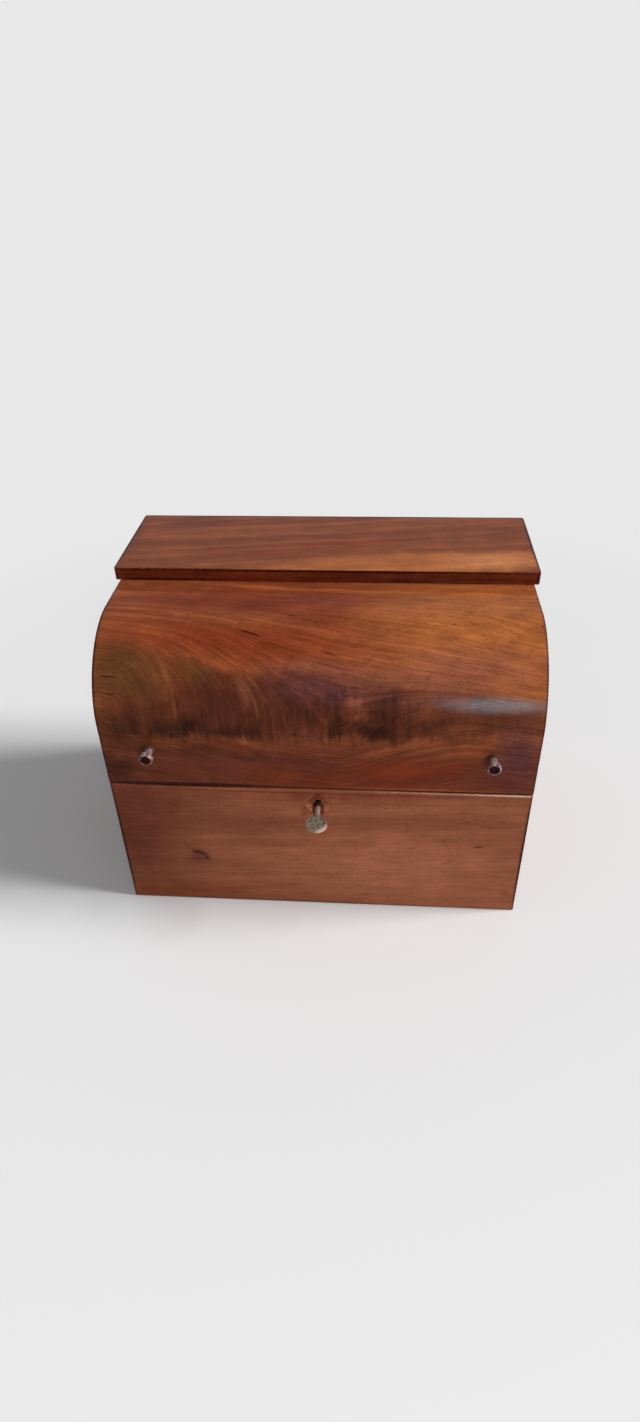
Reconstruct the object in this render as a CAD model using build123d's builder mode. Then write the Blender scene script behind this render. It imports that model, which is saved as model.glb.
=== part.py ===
"""Desk letter box: a mahogany box split at half its height.

The base holds the letter racks and the lock.  The lid is the curved upper half and
turns on two butt hinges behind the box, until its top board comes down to desk level.
Millimetres, +Z up, X to the right, Y to the back.  The origin is the middle of the
underside of the box, below the middle of its body (knobs, key and hinges stand out of it).
"""
import os
from math import hypot, sqrt

from build123d import *

# ---------------------------------------------------------------- driving dimensions
# Body
body_width = 310.0            # over the end boards
body_depth = 203.0            # over the front and the back
total_height = 249.0          # to the top of the top board
front_thickness = 10.0        # base front and curved front
back_thickness = 10.0         # base back and lid back
end_thickness = 8.0           # end boards of base and lid
bottom_thickness = 6.0        # bottom board
bottom_rebate = 5.0           # how far the bottom board is let into the walls
seam_gap = 1.0                # between the rims of base and lid
arris = 0.7                   # softening of the boards' outer edges
front_radius = 63.0           # outside radius of the curved front

# Top board
top_board_thickness = 10.0
top_board_depth = 100.5
top_board_overhang = 4.0      # past each end
top_board_arris = 1.1         # worn edge of the top board
top_board_corner = 2.4        # its corners, seen from above
front_lap = 14.5              # how far the curved front reaches under the top board
batten_depth = 12.0           # batten behind the curved front's rear edge

# Letter racks
rack_thickness = 5.0
front_bay = 57.0              # inside the base front to the front rack
rear_bay = 57.0               # inside the base back to the rear rack
front_rack_height = 144.0
rear_rack_height = 178.0
rack_housing = 2.5            # depth of the groove in the end board
rack_lid_clearance = 1.6      # rack to lid end board, above the rim
finger_dip_width = 90.0       # hollow in a rack's top edge
finger_dip_depth = 9.0

# Butt hinges
hinge_length = 38.0
hinge_inset = 34.0            # box end to the hinge's near end
leaf_width = 7.6              # let into the rim
leaf_thickness = 1.2
knuckle_radius = 2.6
knuckle_stand_off = 0.3       # knuckle to the rear face
knuckle_gap = 0.2             # between neighbouring knuckles
knuckle_count = 5
hinge_pin_radius = 0.85
hinge_screw_spacing = 24.0

# Lock
plate_thickness = 1.2         # lock plate and link plate
selvedge_width = 7.1
selvedge_proud = 0.3          # the metal plates meet before the wooden rims do
key_drop = 15.3               # base rim down to the key's axis
lock_plate_drop = 25.6        # base rim down to the lock plate's lower edge
lock_side_margin = 6.6        # lock plate past the cap at each side
cap_thickness = 0.8
cap_lift = 2.0                # lock plate's lower edge up to the cap's
bolt_thickness = 2.0
bolt_post = 2.4               # width of the bolt's uprights and rail
finger_height = 2.6
bolt_throw = 3.6
talon_rise = 5.6              # key's axis up to the bolt's lower edge
spring_space = 1.6            # between the bolt and the cap
spring_thickness = 0.4
spring_length = 10.5
hook_stem = 2.4
hook_nose_height = 2.2
hook_thickness = 1.7
link_plate_width = 6.0
link_plate_margin = 9.0       # plate past the outer hook
drill_pin_radius = 0.95
pillar_inset = 13.0           # cap's side to the pillar
pillar_lift = 6.0             # cap's lower edge up to the pillar
pillar_radius = 1.5
pillar_tenon_radius = 0.9

# Key
shank_radius = 2.1
bit_reach = 8.0
bit_thickness = 2.4
bow_stand_off = 13.2          # front face to the bow
bow_length = 15.2
bow_width = 15.8
bow_thickness = 2.6
bow_rim_width = 1.5
bow_field_sink = 0.5          # field below the rim, on both faces
key_collar_radius = 2.6
key_collar_length = 1.4

# Escutcheon
escutcheon_half_width = 10.0
escutcheon_half_height = 13.0
escutcheon_drop = 1.2          # its middle sits this far below the key's axis
escutcheon_thickness = 1.2
escutcheon_proud = 0.15
keyhole_radius = 3.3
keyhole_rise = 1.7            # the round's centre above the key's axis
keyhole_throat = 2.6          # below the axis the hole stays as wide as its round this far
keyhole_slot_width = 4.8

# Knobs: a rose on the wood, a hollowed neck, and a head with a sunk face
knob_insets = {"left": 34.8, "right": 32.2}    # box end to the axis; put on by eye
knob_rise = 32.2              # seam up to the knobs' axes
knob_length = 12.0
knob_rose_radius = 4.3
knob_rose_height = 1.2
knob_neck_radius = 2.9        # at its narrowest
knob_head_radius = 4.9
knob_head_length = 3.6
knob_dish_depth = 1.0
knob_rim_width = 1.2
knob_screw_radius = 1.5
knob_screw_head_radius = 2.9
knob_screw_head_height = 1.8
knob_screw_engagement = 8.0   # screw in the knob
washer_radius = 4.2
washer_thickness = 0.8

# Wood screws and pins
screw_head_radius = 1.9
screw_shank_radius = 1.0
screw_length = 7.0
screw_slot_width = 0.5
screw_slot_depth = 0.6
link_screw_spread = 4.6       # hook to the link plate's screw
bottom_pin_radius = 0.6
bottom_pin_length = 15.0
bottom_pin_count = 5          # along the front and along the back

# Clearances
let_in_gap = 0.15             # between a let-in piece and the wood beside it
run_gap = 0.3                 # between sliding or turning pieces of the lock
bore_gap = 0.05               # radial, round a pin that turns
hole_gap = 0.03               # radial, round a pin or screw that doesn't turn
hook_gap = 0.4                # round a hook in its slot

# ---------------------------------------------------------------- worked-out places
front_y = -body_depth / 2
back_y = body_depth / 2
side_x = body_width / 2
front_inside_y = front_y + front_thickness
back_inside_y = back_y - back_thickness
end_inside_x = side_x - end_thickness

seam_z = total_height / 2     # at half height, so that the opened lid lies level
base_rim_z = seam_z - seam_gap / 2
lid_rim_z = seam_z + seam_gap / 2
lid_top_z = total_height - top_board_thickness
bend_z = lid_top_z - front_radius
bend_y = front_y + front_radius
inner_radius = front_radius - front_thickness
top_board_front_y = back_y - top_board_depth
front_edge_y = top_board_front_y + front_lap

front_rack_y = front_inside_y + front_bay
rear_rack_y = back_inside_y - rear_bay - rack_thickness

hinge_axis_y = back_y + knuckle_stand_off + knuckle_radius
hinge_x = side_x - hinge_inset - hinge_length / 2
hinge_screw_y = back_y - leaf_width * 0.55

key_z = base_rim_z - key_drop
escutcheon_z = key_z - escutcheon_drop
lock_plate_y = front_inside_y - plate_thickness
bolt_back_y = lock_plate_y - run_gap
bolt_front_y = bolt_back_y - bolt_thickness
cap_inside_y = bolt_front_y - spring_space
cap_outside_y = cap_inside_y - cap_thickness
hook_y = (bolt_back_y + bolt_front_y) / 2
selvedge_top_z = base_rim_z + selvedge_proud
selvedge_low_z = selvedge_top_z - plate_thickness
lock_plate_low_z = base_rim_z - lock_plate_drop
cap_low_z = lock_plate_low_z + cap_lift

# The bolt, withdrawn.  The key's bit turns inside its talon, so the talon is as wide
# as the bit's corner reaches at the bolt's lower edge.
bit_corner = hypot(bit_reach, bit_thickness / 2)
talon_low_z = key_z + talon_rise
talon_top_z = key_z + bit_corner + run_gap
talon_right_x = sqrt(bit_corner**2 - talon_rise**2) + run_gap - bolt_throw / 2
leg_right_x = -bit_corner - run_gap
leg_left_x = leg_right_x - bolt_post
bolt_top_z = selvedge_low_z - run_gap
finger_low_z = bolt_top_z - finger_height
nose_top_z = finger_low_z - hook_gap
nose_low_z = nose_top_z - hook_nose_height
rail_top_z = nose_low_z - hook_gap
rail_low_z = rail_top_z - bolt_post
nose_length = bolt_throw
right_post_x = talon_right_x + bolt_post
right_nose_x = right_post_x + bolt_throw + run_gap
right_stem_x = right_nose_x + nose_length
left_stem_x = leg_left_x - run_gap - hook_stem
left_nose_x = left_stem_x - nose_length
upright_right_x = left_nose_x - run_gap - bolt_throw
upright_left_x = upright_right_x - bolt_post
cap_half_width = -upright_left_x + run_gap + cap_thickness
lock_half_width = cap_half_width + lock_side_margin
lock_screw_x = cap_half_width + lock_side_margin / 2
link_left_x = left_nose_x - link_plate_margin
link_right_x = right_stem_x + hook_stem + link_plate_margin
link_plate_back_y = front_inside_y - run_gap
link_plate_front_y = link_plate_back_y - link_plate_width

knob_z = seam_z + knob_rise
knob_x = {"left": knob_insets["left"] - side_x, "right": side_x - knob_insets["right"]}

SIDES = {"left": -1, "right": 1}

os.makedirs("parts", exist_ok=True)


# ---------------------------------------------------------------- helpers
def block(x_span, y_span, z_span, mode=Mode.ADD):
    """A square-cornered block between three pairs of limits."""
    sizes = [high - low for low, high in (x_span, y_span, z_span)]
    middle = [(high + low) / 2 for low, high in (x_span, y_span, z_span)]
    with Locations(tuple(middle)):
        Box(*sizes, mode=mode)


def facing_front(y):
    """A drawing plane at depth y, seen from the front: its x is X and its y is Z."""
    return Plane.XZ.offset(-y)


def facing_side(x):
    """A drawing plane at width x: its x is Y and its y is Z."""
    return Plane.YZ.offset(x)


def save(sub_part, name):
    """Label a finished piece and write its file."""
    sub_part.part.label = name
    export_step(sub_part.part, f"parts/{name}.step")


def pointing(x, y, z, direction):
    """Where a screw goes: its head's top at x, y, z and its point in the direction."""
    return Plane(origin=(x, y, z), z_dir=direction).location


# A countersunk wood screw, its head's top at the origin and its point along +Z,
# and the hole that takes it.
screw_head_height = screw_head_radius - screw_shank_radius
screw_tip_height = 2 * screw_shank_radius

with BuildPart() as wood_screw:
    with BuildSketch(Plane.XZ):
        with BuildLine():
            Polyline(
                (0, 0),
                (screw_head_radius, 0),
                (screw_shank_radius, screw_head_height),
                (screw_shank_radius, screw_length - screw_tip_height),
                (0, screw_length),
                close=True,
            )
        make_face()
    revolve(axis=Axis.Z)
    with Locations((0, 0, screw_slot_depth / 2)):
        Box(2 * screw_head_radius, screw_slot_width, screw_slot_depth, mode=Mode.SUBTRACT)

with BuildPart() as screw_hole:
    with BuildSketch(Plane.XZ):
        with BuildLine():
            Polyline(
                (0, 0),
                (screw_head_radius + hole_gap, 0),
                (screw_shank_radius + hole_gap, screw_head_height),
                (screw_shank_radius + hole_gap, screw_length + hole_gap),
                (0, screw_length + hole_gap),
                close=True,
            )
        make_face()
    revolve(axis=Axis.Z)

DOWN = (0, 0, -1)
UP = (0, 0, 1)
FORWARD = (0, -1, 0)

hinge_screws_x = [
    side * hinge_x + offset
    for side in SIDES.values()
    for offset in (-hinge_screw_spacing / 2, hinge_screw_spacing / 2)
]
base_hinge_screws = [pointing(x, hinge_screw_y, base_rim_z, DOWN) for x in hinge_screws_x]
lid_hinge_screws = [pointing(x, hinge_screw_y, lid_rim_z, UP) for x in hinge_screws_x]

lock_plate_screw_z = lock_plate_low_z + lock_side_margin / 2
selvedge_screw_y = front_inside_y - selvedge_width / 2
lock_screw_places = [
    place
    for side in SIDES.values()
    for place in (
        pointing(side * lock_screw_x, front_inside_y, lock_plate_screw_z, FORWARD),
        pointing(side * lock_screw_x, selvedge_screw_y, selvedge_top_z, DOWN),
    )
]

link_plate_low_z = lid_rim_z - selvedge_proud
link_screw_y = (link_plate_front_y + link_plate_back_y) / 2
link_screw_places = [
    pointing(x, link_screw_y, link_plate_low_z, UP)
    for x in (left_nose_x - link_screw_spread, right_stem_x + hook_stem + link_screw_spread)
]


def keyhole_outline(round_radius, slot_width, rise=0.0, throat=0.0, mode=Mode.ADD):
    """Draw a keyhole: a round for the shank, set above its axis by rise, and a slot for the bit."""
    slot_reach = bit_reach + run_gap
    with Locations((0, key_z + rise)):
        Circle(round_radius, mode=mode)
    if throat:
        with Locations((0, key_z + (rise - throat) / 2)):
            Rectangle(2 * round_radius, rise + throat, mode=mode)
    with Locations((0, key_z + (rise - slot_reach) / 2)):
        Rectangle(slot_width, rise + slot_reach, mode=mode)


# ---------------------------------------------------------------- base: boards
front_pin_y = front_inside_y - bottom_rebate / 2
back_pin_y = back_inside_y + bottom_rebate / 2
pin_spacing = (body_width - 4 * end_thickness) / (bottom_pin_count - 1)
bottom_pin_places = [
    Location(((i - (bottom_pin_count - 1) / 2) * pin_spacing, y, 0))
    for i in range(bottom_pin_count)
    for y in (front_pin_y, back_pin_y)
]
board_x = end_inside_x + bottom_rebate
board_front_y = front_inside_y - bottom_rebate
board_back_y = back_inside_y + bottom_rebate


def bottom_pin_holes():
    """Cut the pins' holes in the piece being made."""
    with Locations(*bottom_pin_places):
        Cylinder(
            bottom_pin_radius + hole_gap,
            bottom_pin_length + hole_gap,
            align=(Align.CENTER, Align.CENTER, Align.MIN),
            mode=Mode.SUBTRACT,
        )


def bottom_board_rebate():
    """Cut the seat of the bottom board in the wall being made."""
    block(
        (-board_x - let_in_gap, board_x + let_in_gap),
        (board_front_y - let_in_gap, board_back_y + let_in_gap),
        (0, bottom_thickness),
        mode=Mode.SUBTRACT,
    )


def leaf_recesses(z_low, z_high):
    """Cut the seats of both hinges' leaves in the rim of the back being made."""
    for side in SIDES.values():
        x = side * hinge_x
        half = hinge_length / 2 + let_in_gap
        block(
            (x - half, x + half),
            (back_y - leaf_width - let_in_gap, back_y),
            (z_low, z_high),
            mode=Mode.SUBTRACT,
        )


with BuildPart() as base_front:
    block((-side_x, side_x), (front_y, front_inside_y), (0, base_rim_z))
    fillet(base_front.faces().sort_by(Axis.Y)[0].edges(), arris)
    bottom_board_rebate()
    bottom_pin_holes()
    # Housing of the lock: a deep pocket for the cap, a shallow one for the plate
    pocket_x = cap_half_width + let_in_gap
    block(
        (-pocket_x, pocket_x),
        (cap_outside_y - let_in_gap, front_inside_y),
        (cap_low_z - let_in_gap, base_rim_z),
        mode=Mode.SUBTRACT,
    )
    plate_x = lock_half_width + let_in_gap
    block(
        (-plate_x, plate_x),
        (lock_plate_y, front_inside_y),
        (lock_plate_low_z - let_in_gap, base_rim_z),
        mode=Mode.SUBTRACT,
    )
    block(
        (-plate_x, plate_x),
        (front_inside_y - selvedge_width - let_in_gap, front_inside_y),
        (selvedge_low_z, base_rim_z),
        mode=Mode.SUBTRACT,
    )
    with Locations(*lock_screw_places):
        add(screw_hole.part, mode=Mode.SUBTRACT)
    # Keyhole, and the lozenge-shaped seat of the escutcheon
    with BuildSketch(facing_front(front_y)):
        keyhole_outline(keyhole_radius, keyhole_slot_width, keyhole_rise, keyhole_throat)
    extrude(amount=-front_thickness, mode=Mode.SUBTRACT)
    with BuildSketch(facing_front(front_y)):
        with BuildLine():
            Polyline(
                (0, escutcheon_z + escutcheon_half_height + hole_gap),
                (escutcheon_half_width + hole_gap, escutcheon_z),
                (0, escutcheon_z - escutcheon_half_height - hole_gap),
                (-escutcheon_half_width - hole_gap, escutcheon_z),
                close=True,
            )
        make_face()
    extrude(amount=-(escutcheon_thickness - escutcheon_proud), mode=Mode.SUBTRACT)
save(base_front, "base_front")

with BuildPart() as base_back:
    block((-side_x, side_x), (back_inside_y, back_y), (0, base_rim_z))
    fillet(base_back.faces().sort_by(Axis.Y)[-1].edges().filter_by(Axis.Z), arris)
    bottom_board_rebate()
    bottom_pin_holes()
    leaf_recesses(base_rim_z - leaf_thickness, base_rim_z)
    with Locations(*base_hinge_screws):
        add(screw_hole.part, mode=Mode.SUBTRACT)
save(base_back, "base_back")

for name, side in SIDES.items():
    with BuildPart() as base_end:
        x_span = sorted((side * end_inside_x, side * side_x))
        block(x_span, (front_inside_y, back_inside_y), (0, base_rim_z))
        bottom_board_rebate()
        # Housings for the ends of the racks
        groove_span = sorted((side * end_inside_x, side * (end_inside_x + rack_housing)))
        for rack_y in (front_rack_y, rear_rack_y):
            block(
                groove_span,
                (rack_y - let_in_gap, rack_y + rack_thickness + let_in_gap),
                (bottom_thickness, base_rim_z),
                mode=Mode.SUBTRACT,
            )
    save(base_end, f"base_{name}_end")

with BuildPart() as bottom_board:
    block((-board_x, board_x), (board_front_y, board_back_y), (0, bottom_thickness))
    bottom_pin_holes()
save(bottom_board, "bottom_board")

with BuildPart() as bottom_pins:
    with Locations(*bottom_pin_places):
        Cylinder(bottom_pin_radius, bottom_pin_length, align=(Align.CENTER, Align.CENTER, Align.MIN))
save(bottom_pins, "bottom_pins")


# ---------------------------------------------------------------- base: letter racks
def letter_rack(rack_y, height):
    """A thin board housed in both ends, with a finger dip in the middle of its top."""
    housed_x = end_inside_x + rack_housing - let_in_gap
    free_x = end_inside_x - rack_lid_clearance
    top_z = bottom_thickness + height
    dip_x = finger_dip_width / 2
    with BuildPart() as rack:
        with BuildSketch(facing_front(rack_y + rack_thickness)):
            with BuildLine():
                Polyline(
                    (-dip_x, top_z),
                    (-free_x, top_z),
                    (-free_x, base_rim_z),
                    (-housed_x, base_rim_z),
                    (-housed_x, bottom_thickness),
                    (housed_x, bottom_thickness),
                    (housed_x, base_rim_z),
                    (free_x, base_rim_z),
                    (free_x, top_z),
                    (dip_x, top_z),
                )
                ThreePointArc((dip_x, top_z), (0, top_z - finger_dip_depth), (-dip_x, top_z))
            make_face()
        extrude(amount=rack_thickness)
        fillet(rack.edges().filter_by(Axis.X).group_by(Axis.Z)[-1], arris)
    return rack


front_rack = letter_rack(front_rack_y, front_rack_height)
save(front_rack, "front_rack")
rear_rack = letter_rack(rear_rack_y, rear_rack_height)
save(rear_rack, "rear_rack")

# ---------------------------------------------------------------- lid: boards
with BuildPart() as curved_front:
    with BuildSketch(facing_side(-side_x)):
        with BuildLine():
            Polyline((front_inside_y, lid_rim_z), (front_y, lid_rim_z), (front_y, bend_z))
            RadiusArc((front_y, bend_z), (bend_y, lid_top_z), front_radius)
            Polyline(
                (bend_y, lid_top_z),
                (front_edge_y, lid_top_z),
                (front_edge_y, lid_top_z - front_thickness),
                (bend_y, lid_top_z - front_thickness),
            )
            RadiusArc((bend_y, lid_top_z - front_thickness), (front_inside_y, bend_z), -inner_radius)
            Line((front_inside_y, bend_z), (front_inside_y, lid_rim_z))
        make_face()
    extrude(amount=body_width)
    lid_front_faces = curved_front.faces().group_by(Axis.Y)[0]
    fillet(lid_front_faces.edges().group_by(Axis.Z)[0], arris)
    # Seat of the link plate in the lower edge
    block(
        (link_left_x - let_in_gap, link_right_x + let_in_gap),
        (link_plate_front_y - let_in_gap, link_plate_back_y + let_in_gap),
        (lid_rim_z, link_plate_low_z + plate_thickness),
        mode=Mode.SUBTRACT,
    )
    with Locations(*link_screw_places):
        add(screw_hole.part, mode=Mode.SUBTRACT)
    for x in knob_x.values():
        with BuildSketch(facing_front(front_y)):
            with Locations((x, knob_z)):
                Circle(knob_screw_radius + hole_gap)
        extrude(amount=-front_thickness, mode=Mode.SUBTRACT)
save(curved_front, "curved_front")

for name, side in SIDES.items():
    with BuildPart() as lid_end:
        with BuildSketch(facing_side(min(side * side_x, side * end_inside_x))):
            with BuildLine():
                Line((front_inside_y, lid_rim_z), (front_inside_y, bend_z))
                RadiusArc((front_inside_y, bend_z), (bend_y, lid_top_z - front_thickness), inner_radius)
                Polyline(
                    (bend_y, lid_top_z - front_thickness),
                    (front_edge_y, lid_top_z - front_thickness),
                    (front_edge_y, lid_top_z),
                    (back_inside_y, lid_top_z),
                    (back_inside_y, lid_rim_z),
                    (front_inside_y, lid_rim_z),
                )
            make_face()
        extrude(amount=end_thickness)
    save(lid_end, f"lid_{name}_end")

with BuildPart() as lid_back:
    block((-side_x, side_x), (back_inside_y, back_y), (lid_rim_z, lid_top_z))
    fillet(lid_back.faces().sort_by(Axis.Y)[-1].edges().filter_by(Axis.Z), arris)
    leaf_recesses(lid_rim_z, lid_rim_z + leaf_thickness)
    with Locations(*lid_hinge_screws):
        add(screw_hole.part, mode=Mode.SUBTRACT)
save(lid_back, "lid_back")

with BuildPart() as top_board:
    top_x = side_x + top_board_overhang
    block((-top_x, top_x), (top_board_front_y, back_y), (lid_top_z, total_height))
    fillet(top_board.edges().filter_by(Axis.Z), top_board_corner)
    fillet(top_board.faces().sort_by(Axis.Z)[-1].edges(), top_board_arris)
save(top_board, "top_board")

with BuildPart() as top_batten:
    block(
        (-end_inside_x, end_inside_x),
        (front_edge_y, front_edge_y + batten_depth),
        (lid_top_z - front_thickness, lid_top_z),
    )
    chamfer(top_batten.faces().sort_by(Axis.Y)[-1].edges().group_by(Axis.Z)[0], arris)
save(top_batten, "top_batten")

# ---------------------------------------------------------------- knobs
knob_head_start = knob_length - knob_head_length

with BuildPart() as knob:
    with BuildSketch(Plane.XZ):
        with BuildLine():
            Polyline(
                (0, knob_length - knob_dish_depth),
                (0, 0),
                (knob_rose_radius, 0),
                (knob_rose_radius, knob_rose_height / 2),
                (knob_rose_radius - knob_rim_width, knob_rose_height),
            )
            ThreePointArc(
                (knob_rose_radius - knob_rim_width, knob_rose_height),
                (knob_neck_radius, (knob_rose_height + knob_head_start) / 2),
                (knob_head_radius, knob_head_start),
            )
            Polyline(
                (knob_head_radius, knob_head_start),
                (knob_head_radius, knob_length - knob_rim_width / 2),
                (knob_head_radius - knob_rim_width / 2, knob_length),
                (knob_head_radius - knob_rim_width, knob_length),
                (knob_head_radius - 2 * knob_rim_width, knob_length - knob_dish_depth),
                (0, knob_length - knob_dish_depth),
            )
        make_face()
    revolve(axis=Axis.Z)
    with Locations((0, 0, knob_screw_engagement / 2)):
        Cylinder(knob_screw_radius + hole_gap, knob_screw_engagement, mode=Mode.SUBTRACT)

washer_back_y = front_inside_y + washer_thickness

with BuildPart() as knob_screw:
    screw_reach = washer_back_y - front_y + knob_screw_engagement - run_gap
    Cylinder(knob_screw_radius, screw_reach, align=(Align.CENTER, Align.CENTER, Align.MIN))
    with Locations((0, 0, -knob_screw_head_height)):
        Cylinder(
            knob_screw_head_radius,
            knob_screw_head_height,
            align=(Align.CENTER, Align.CENTER, Align.MIN),
        )
    fillet(knob_screw.faces().sort_by(Axis.Z)[0].edges(), screw_slot_depth)
    with Locations((0, 0, screw_slot_depth / 2 - knob_screw_head_height)):
        Box(2 * knob_screw_head_radius, screw_slot_width, screw_slot_depth, mode=Mode.SUBTRACT)

for name, x in knob_x.items():
    with BuildPart() as placed_knob:
        with Locations(pointing(x, front_y, knob_z, FORWARD)):
            add(knob.part)
    save(placed_knob, f"knob_{name}")

knob_screw_places = [pointing(x, washer_back_y, knob_z, FORWARD) for x in knob_x.values()]

with BuildPart() as knob_screws:
    with Locations(*knob_screw_places):
        add(knob_screw.part)
save(knob_screws, "knob_screws")

with BuildPart() as knob_washers:
    with BuildSketch(facing_front(washer_back_y)):
        for x in knob_x.values():
            with Locations((x, knob_z)):
                Circle(washer_radius)
                Circle(knob_screw_radius + hole_gap, mode=Mode.SUBTRACT)
    extrude(amount=washer_thickness)
save(knob_washers, "knob_washers")

# ---------------------------------------------------------------- butt hinges
knuckle_pitch = (hinge_length + knuckle_gap) / knuckle_count
knuckle_length = knuckle_pitch - knuckle_gap


def hinge_leaf(middle_x, plate_low_z, first_knuckle, bore_radius, screws):
    """One leaf: a plate let into the rim, and every second knuckle of the barrel."""
    half = hinge_length / 2
    with BuildPart() as leaf:
        block(
            (middle_x - half, middle_x + half),
            (back_y - leaf_width, back_y),
            (plate_low_z, plate_low_z + leaf_thickness),
        )
        for i in range(first_knuckle, knuckle_count, 2):
            start_x = middle_x - half + i * knuckle_pitch
            block(
                (start_x, start_x + knuckle_length),
                (back_y, hinge_axis_y),
                (plate_low_z, plate_low_z + leaf_thickness),
            )
            with BuildSketch(facing_side(start_x)):
                with Locations((hinge_axis_y, seam_z)):
                    Circle(knuckle_radius)
            extrude(amount=knuckle_length)
        with BuildSketch(facing_side(middle_x - half)):
            with Locations((hinge_axis_y, seam_z)):
                Circle(bore_radius)
        extrude(amount=hinge_length, mode=Mode.SUBTRACT)
        with Locations(*screws):
            add(screw_hole.part, mode=Mode.SUBTRACT)
    return leaf


for name, side in SIDES.items():
    middle_x = side * hinge_x
    base_leaf = hinge_leaf(
        middle_x, base_rim_z - leaf_thickness, 0, hinge_pin_radius + hole_gap, base_hinge_screws
    )
    save(base_leaf, f"hinge_leaf_base_{name}")
    lid_leaf = hinge_leaf(middle_x, lid_rim_z, 1, hinge_pin_radius + bore_gap, lid_hinge_screws)
    save(lid_leaf, f"hinge_leaf_lid_{name}")
    with BuildPart() as hinge_pin:
        with BuildSketch(facing_side(middle_x - hinge_length / 2)):
            with Locations((hinge_axis_y, seam_z)):
                Circle(hinge_pin_radius)
        extrude(amount=hinge_length)
    save(hinge_pin, f"hinge_pin_{name}")

with BuildPart() as hinge_screws_base:
    with Locations(*base_hinge_screws):
        add(wood_screw.part)
save(hinge_screws_base, "hinge_screws_base")

with BuildPart() as hinge_screws_lid:
    with Locations(*lid_hinge_screws):
        add(wood_screw.part)
save(hinge_screws_lid, "hinge_screws_lid")

# ---------------------------------------------------------------- lock: fixed pieces
pillar_x = cap_half_width - pillar_inset
pillar_places = [(side * pillar_x, cap_low_z + pillar_lift) for side in SIDES.values()]
hook_spans = [(left_nose_x, left_stem_x + hook_stem), (right_nose_x, right_stem_x + hook_stem)]

with BuildPart() as lock_plate:
    block(
        (-lock_half_width, lock_half_width),
        (lock_plate_y, front_inside_y),
        (lock_plate_low_z, selvedge_top_z),
    )
    block(
        (-lock_half_width, lock_half_width),
        (front_inside_y - selvedge_width, lock_plate_y),
        (selvedge_low_z, selvedge_top_z),
    )
    for hook_left, hook_right in hook_spans:
        block(
            (hook_left - hook_gap, hook_right + hook_gap),
            (hook_y - hook_thickness / 2 - hook_gap, hook_y + hook_thickness / 2 + hook_gap),
            (selvedge_low_z, selvedge_top_z),
            mode=Mode.SUBTRACT,
        )
    with Locations(*lock_screw_places):
        add(screw_hole.part, mode=Mode.SUBTRACT)
    with BuildSketch(facing_front(front_inside_y)):
        with Locations(*pillar_places):
            Circle(pillar_tenon_radius + hole_gap)
        with Locations((0, key_z)):
            Circle(drill_pin_radius + hole_gap)
    extrude(amount=plate_thickness, mode=Mode.SUBTRACT)
save(lock_plate, "lock_plate")

with BuildPart() as lock_cap:
    block(
        (-cap_half_width, cap_half_width),
        (cap_outside_y, lock_plate_y),
        (cap_low_z, selvedge_low_z),
    )
    block(
        (-cap_half_width + cap_thickness, cap_half_width - cap_thickness),
        (cap_inside_y, lock_plate_y),
        (cap_low_z + cap_thickness, selvedge_low_z),
        mode=Mode.SUBTRACT,
    )
    with BuildSketch(facing_front(cap_inside_y)):
        keyhole_outline(shank_radius + run_gap, bit_thickness + 2 * run_gap)
        with Locations(*pillar_places):
            Circle(pillar_tenon_radius + hole_gap)
    extrude(amount=cap_thickness, mode=Mode.SUBTRACT)
save(lock_cap, "lock_cap")

with BuildPart() as cap_pillars:
    with BuildSketch(facing_front(front_inside_y)):
        with Locations(*pillar_places):
            Circle(pillar_tenon_radius)
    extrude(amount=front_inside_y - cap_outside_y)
    with BuildSketch(facing_front(lock_plate_y)):
        with Locations(*pillar_places):
            Circle(pillar_radius)
    extrude(amount=lock_plate_y - cap_inside_y)
save(cap_pillars, "cap_pillars")

with BuildPart() as drill_pin:
    with BuildSketch(facing_front(front_inside_y)):
        with Locations((0, key_z)):
            Circle(drill_pin_radius)
    extrude(amount=front_inside_y - cap_outside_y)
    chamfer(drill_pin.faces().sort_by(Axis.Y)[0].edges(), drill_pin_radius / 3)
save(drill_pin, "drill_pin")

with BuildPart() as lock_screws:
    with Locations(*lock_screw_places):
        add(wood_screw.part)
save(lock_screws, "lock_screws")

with BuildPart() as escutcheon:
    with BuildSketch(facing_front(front_y + escutcheon_thickness - escutcheon_proud)):
        with BuildLine():
            Polyline(
                (0, escutcheon_z + escutcheon_half_height),
                (escutcheon_half_width, escutcheon_z),
                (0, escutcheon_z - escutcheon_half_height),
                (-escutcheon_half_width, escutcheon_z),
                close=True,
            )
        make_face()
        keyhole_outline(
            keyhole_radius, keyhole_slot_width, keyhole_rise, keyhole_throat, mode=Mode.SUBTRACT
        )
    extrude(amount=escutcheon_thickness)
save(escutcheon, "escutcheon")

# ---------------------------------------------------------------- lock: link plate in the lid
with BuildPart() as link_plate:
    block(
        (link_left_x, link_right_x),
        (link_plate_front_y, link_plate_back_y),
        (link_plate_low_z, link_plate_low_z + plate_thickness),
    )
    for nose_x, stem_x in ((left_nose_x, left_stem_x), (right_nose_x, right_stem_x)):
        with BuildSketch(facing_front(hook_y + hook_thickness / 2)):
            with BuildLine():
                Polyline(
                    (stem_x, link_plate_low_z),
                    (stem_x, nose_top_z),
                    (nose_x, nose_top_z),
                    (nose_x, nose_low_z),
                    (stem_x + hook_stem, nose_low_z),
                    (stem_x + hook_stem, link_plate_low_z),
                    close=True,
                )
            make_face()
        extrude(amount=hook_thickness)
    with Locations(*link_screw_places):
        add(screw_hole.part, mode=Mode.SUBTRACT)
save(link_plate, "link_plate")

with BuildPart() as link_plate_screws:
    with Locations(*link_screw_places):
        add(wood_screw.part)
save(link_plate_screws, "link_plate_screws")

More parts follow.
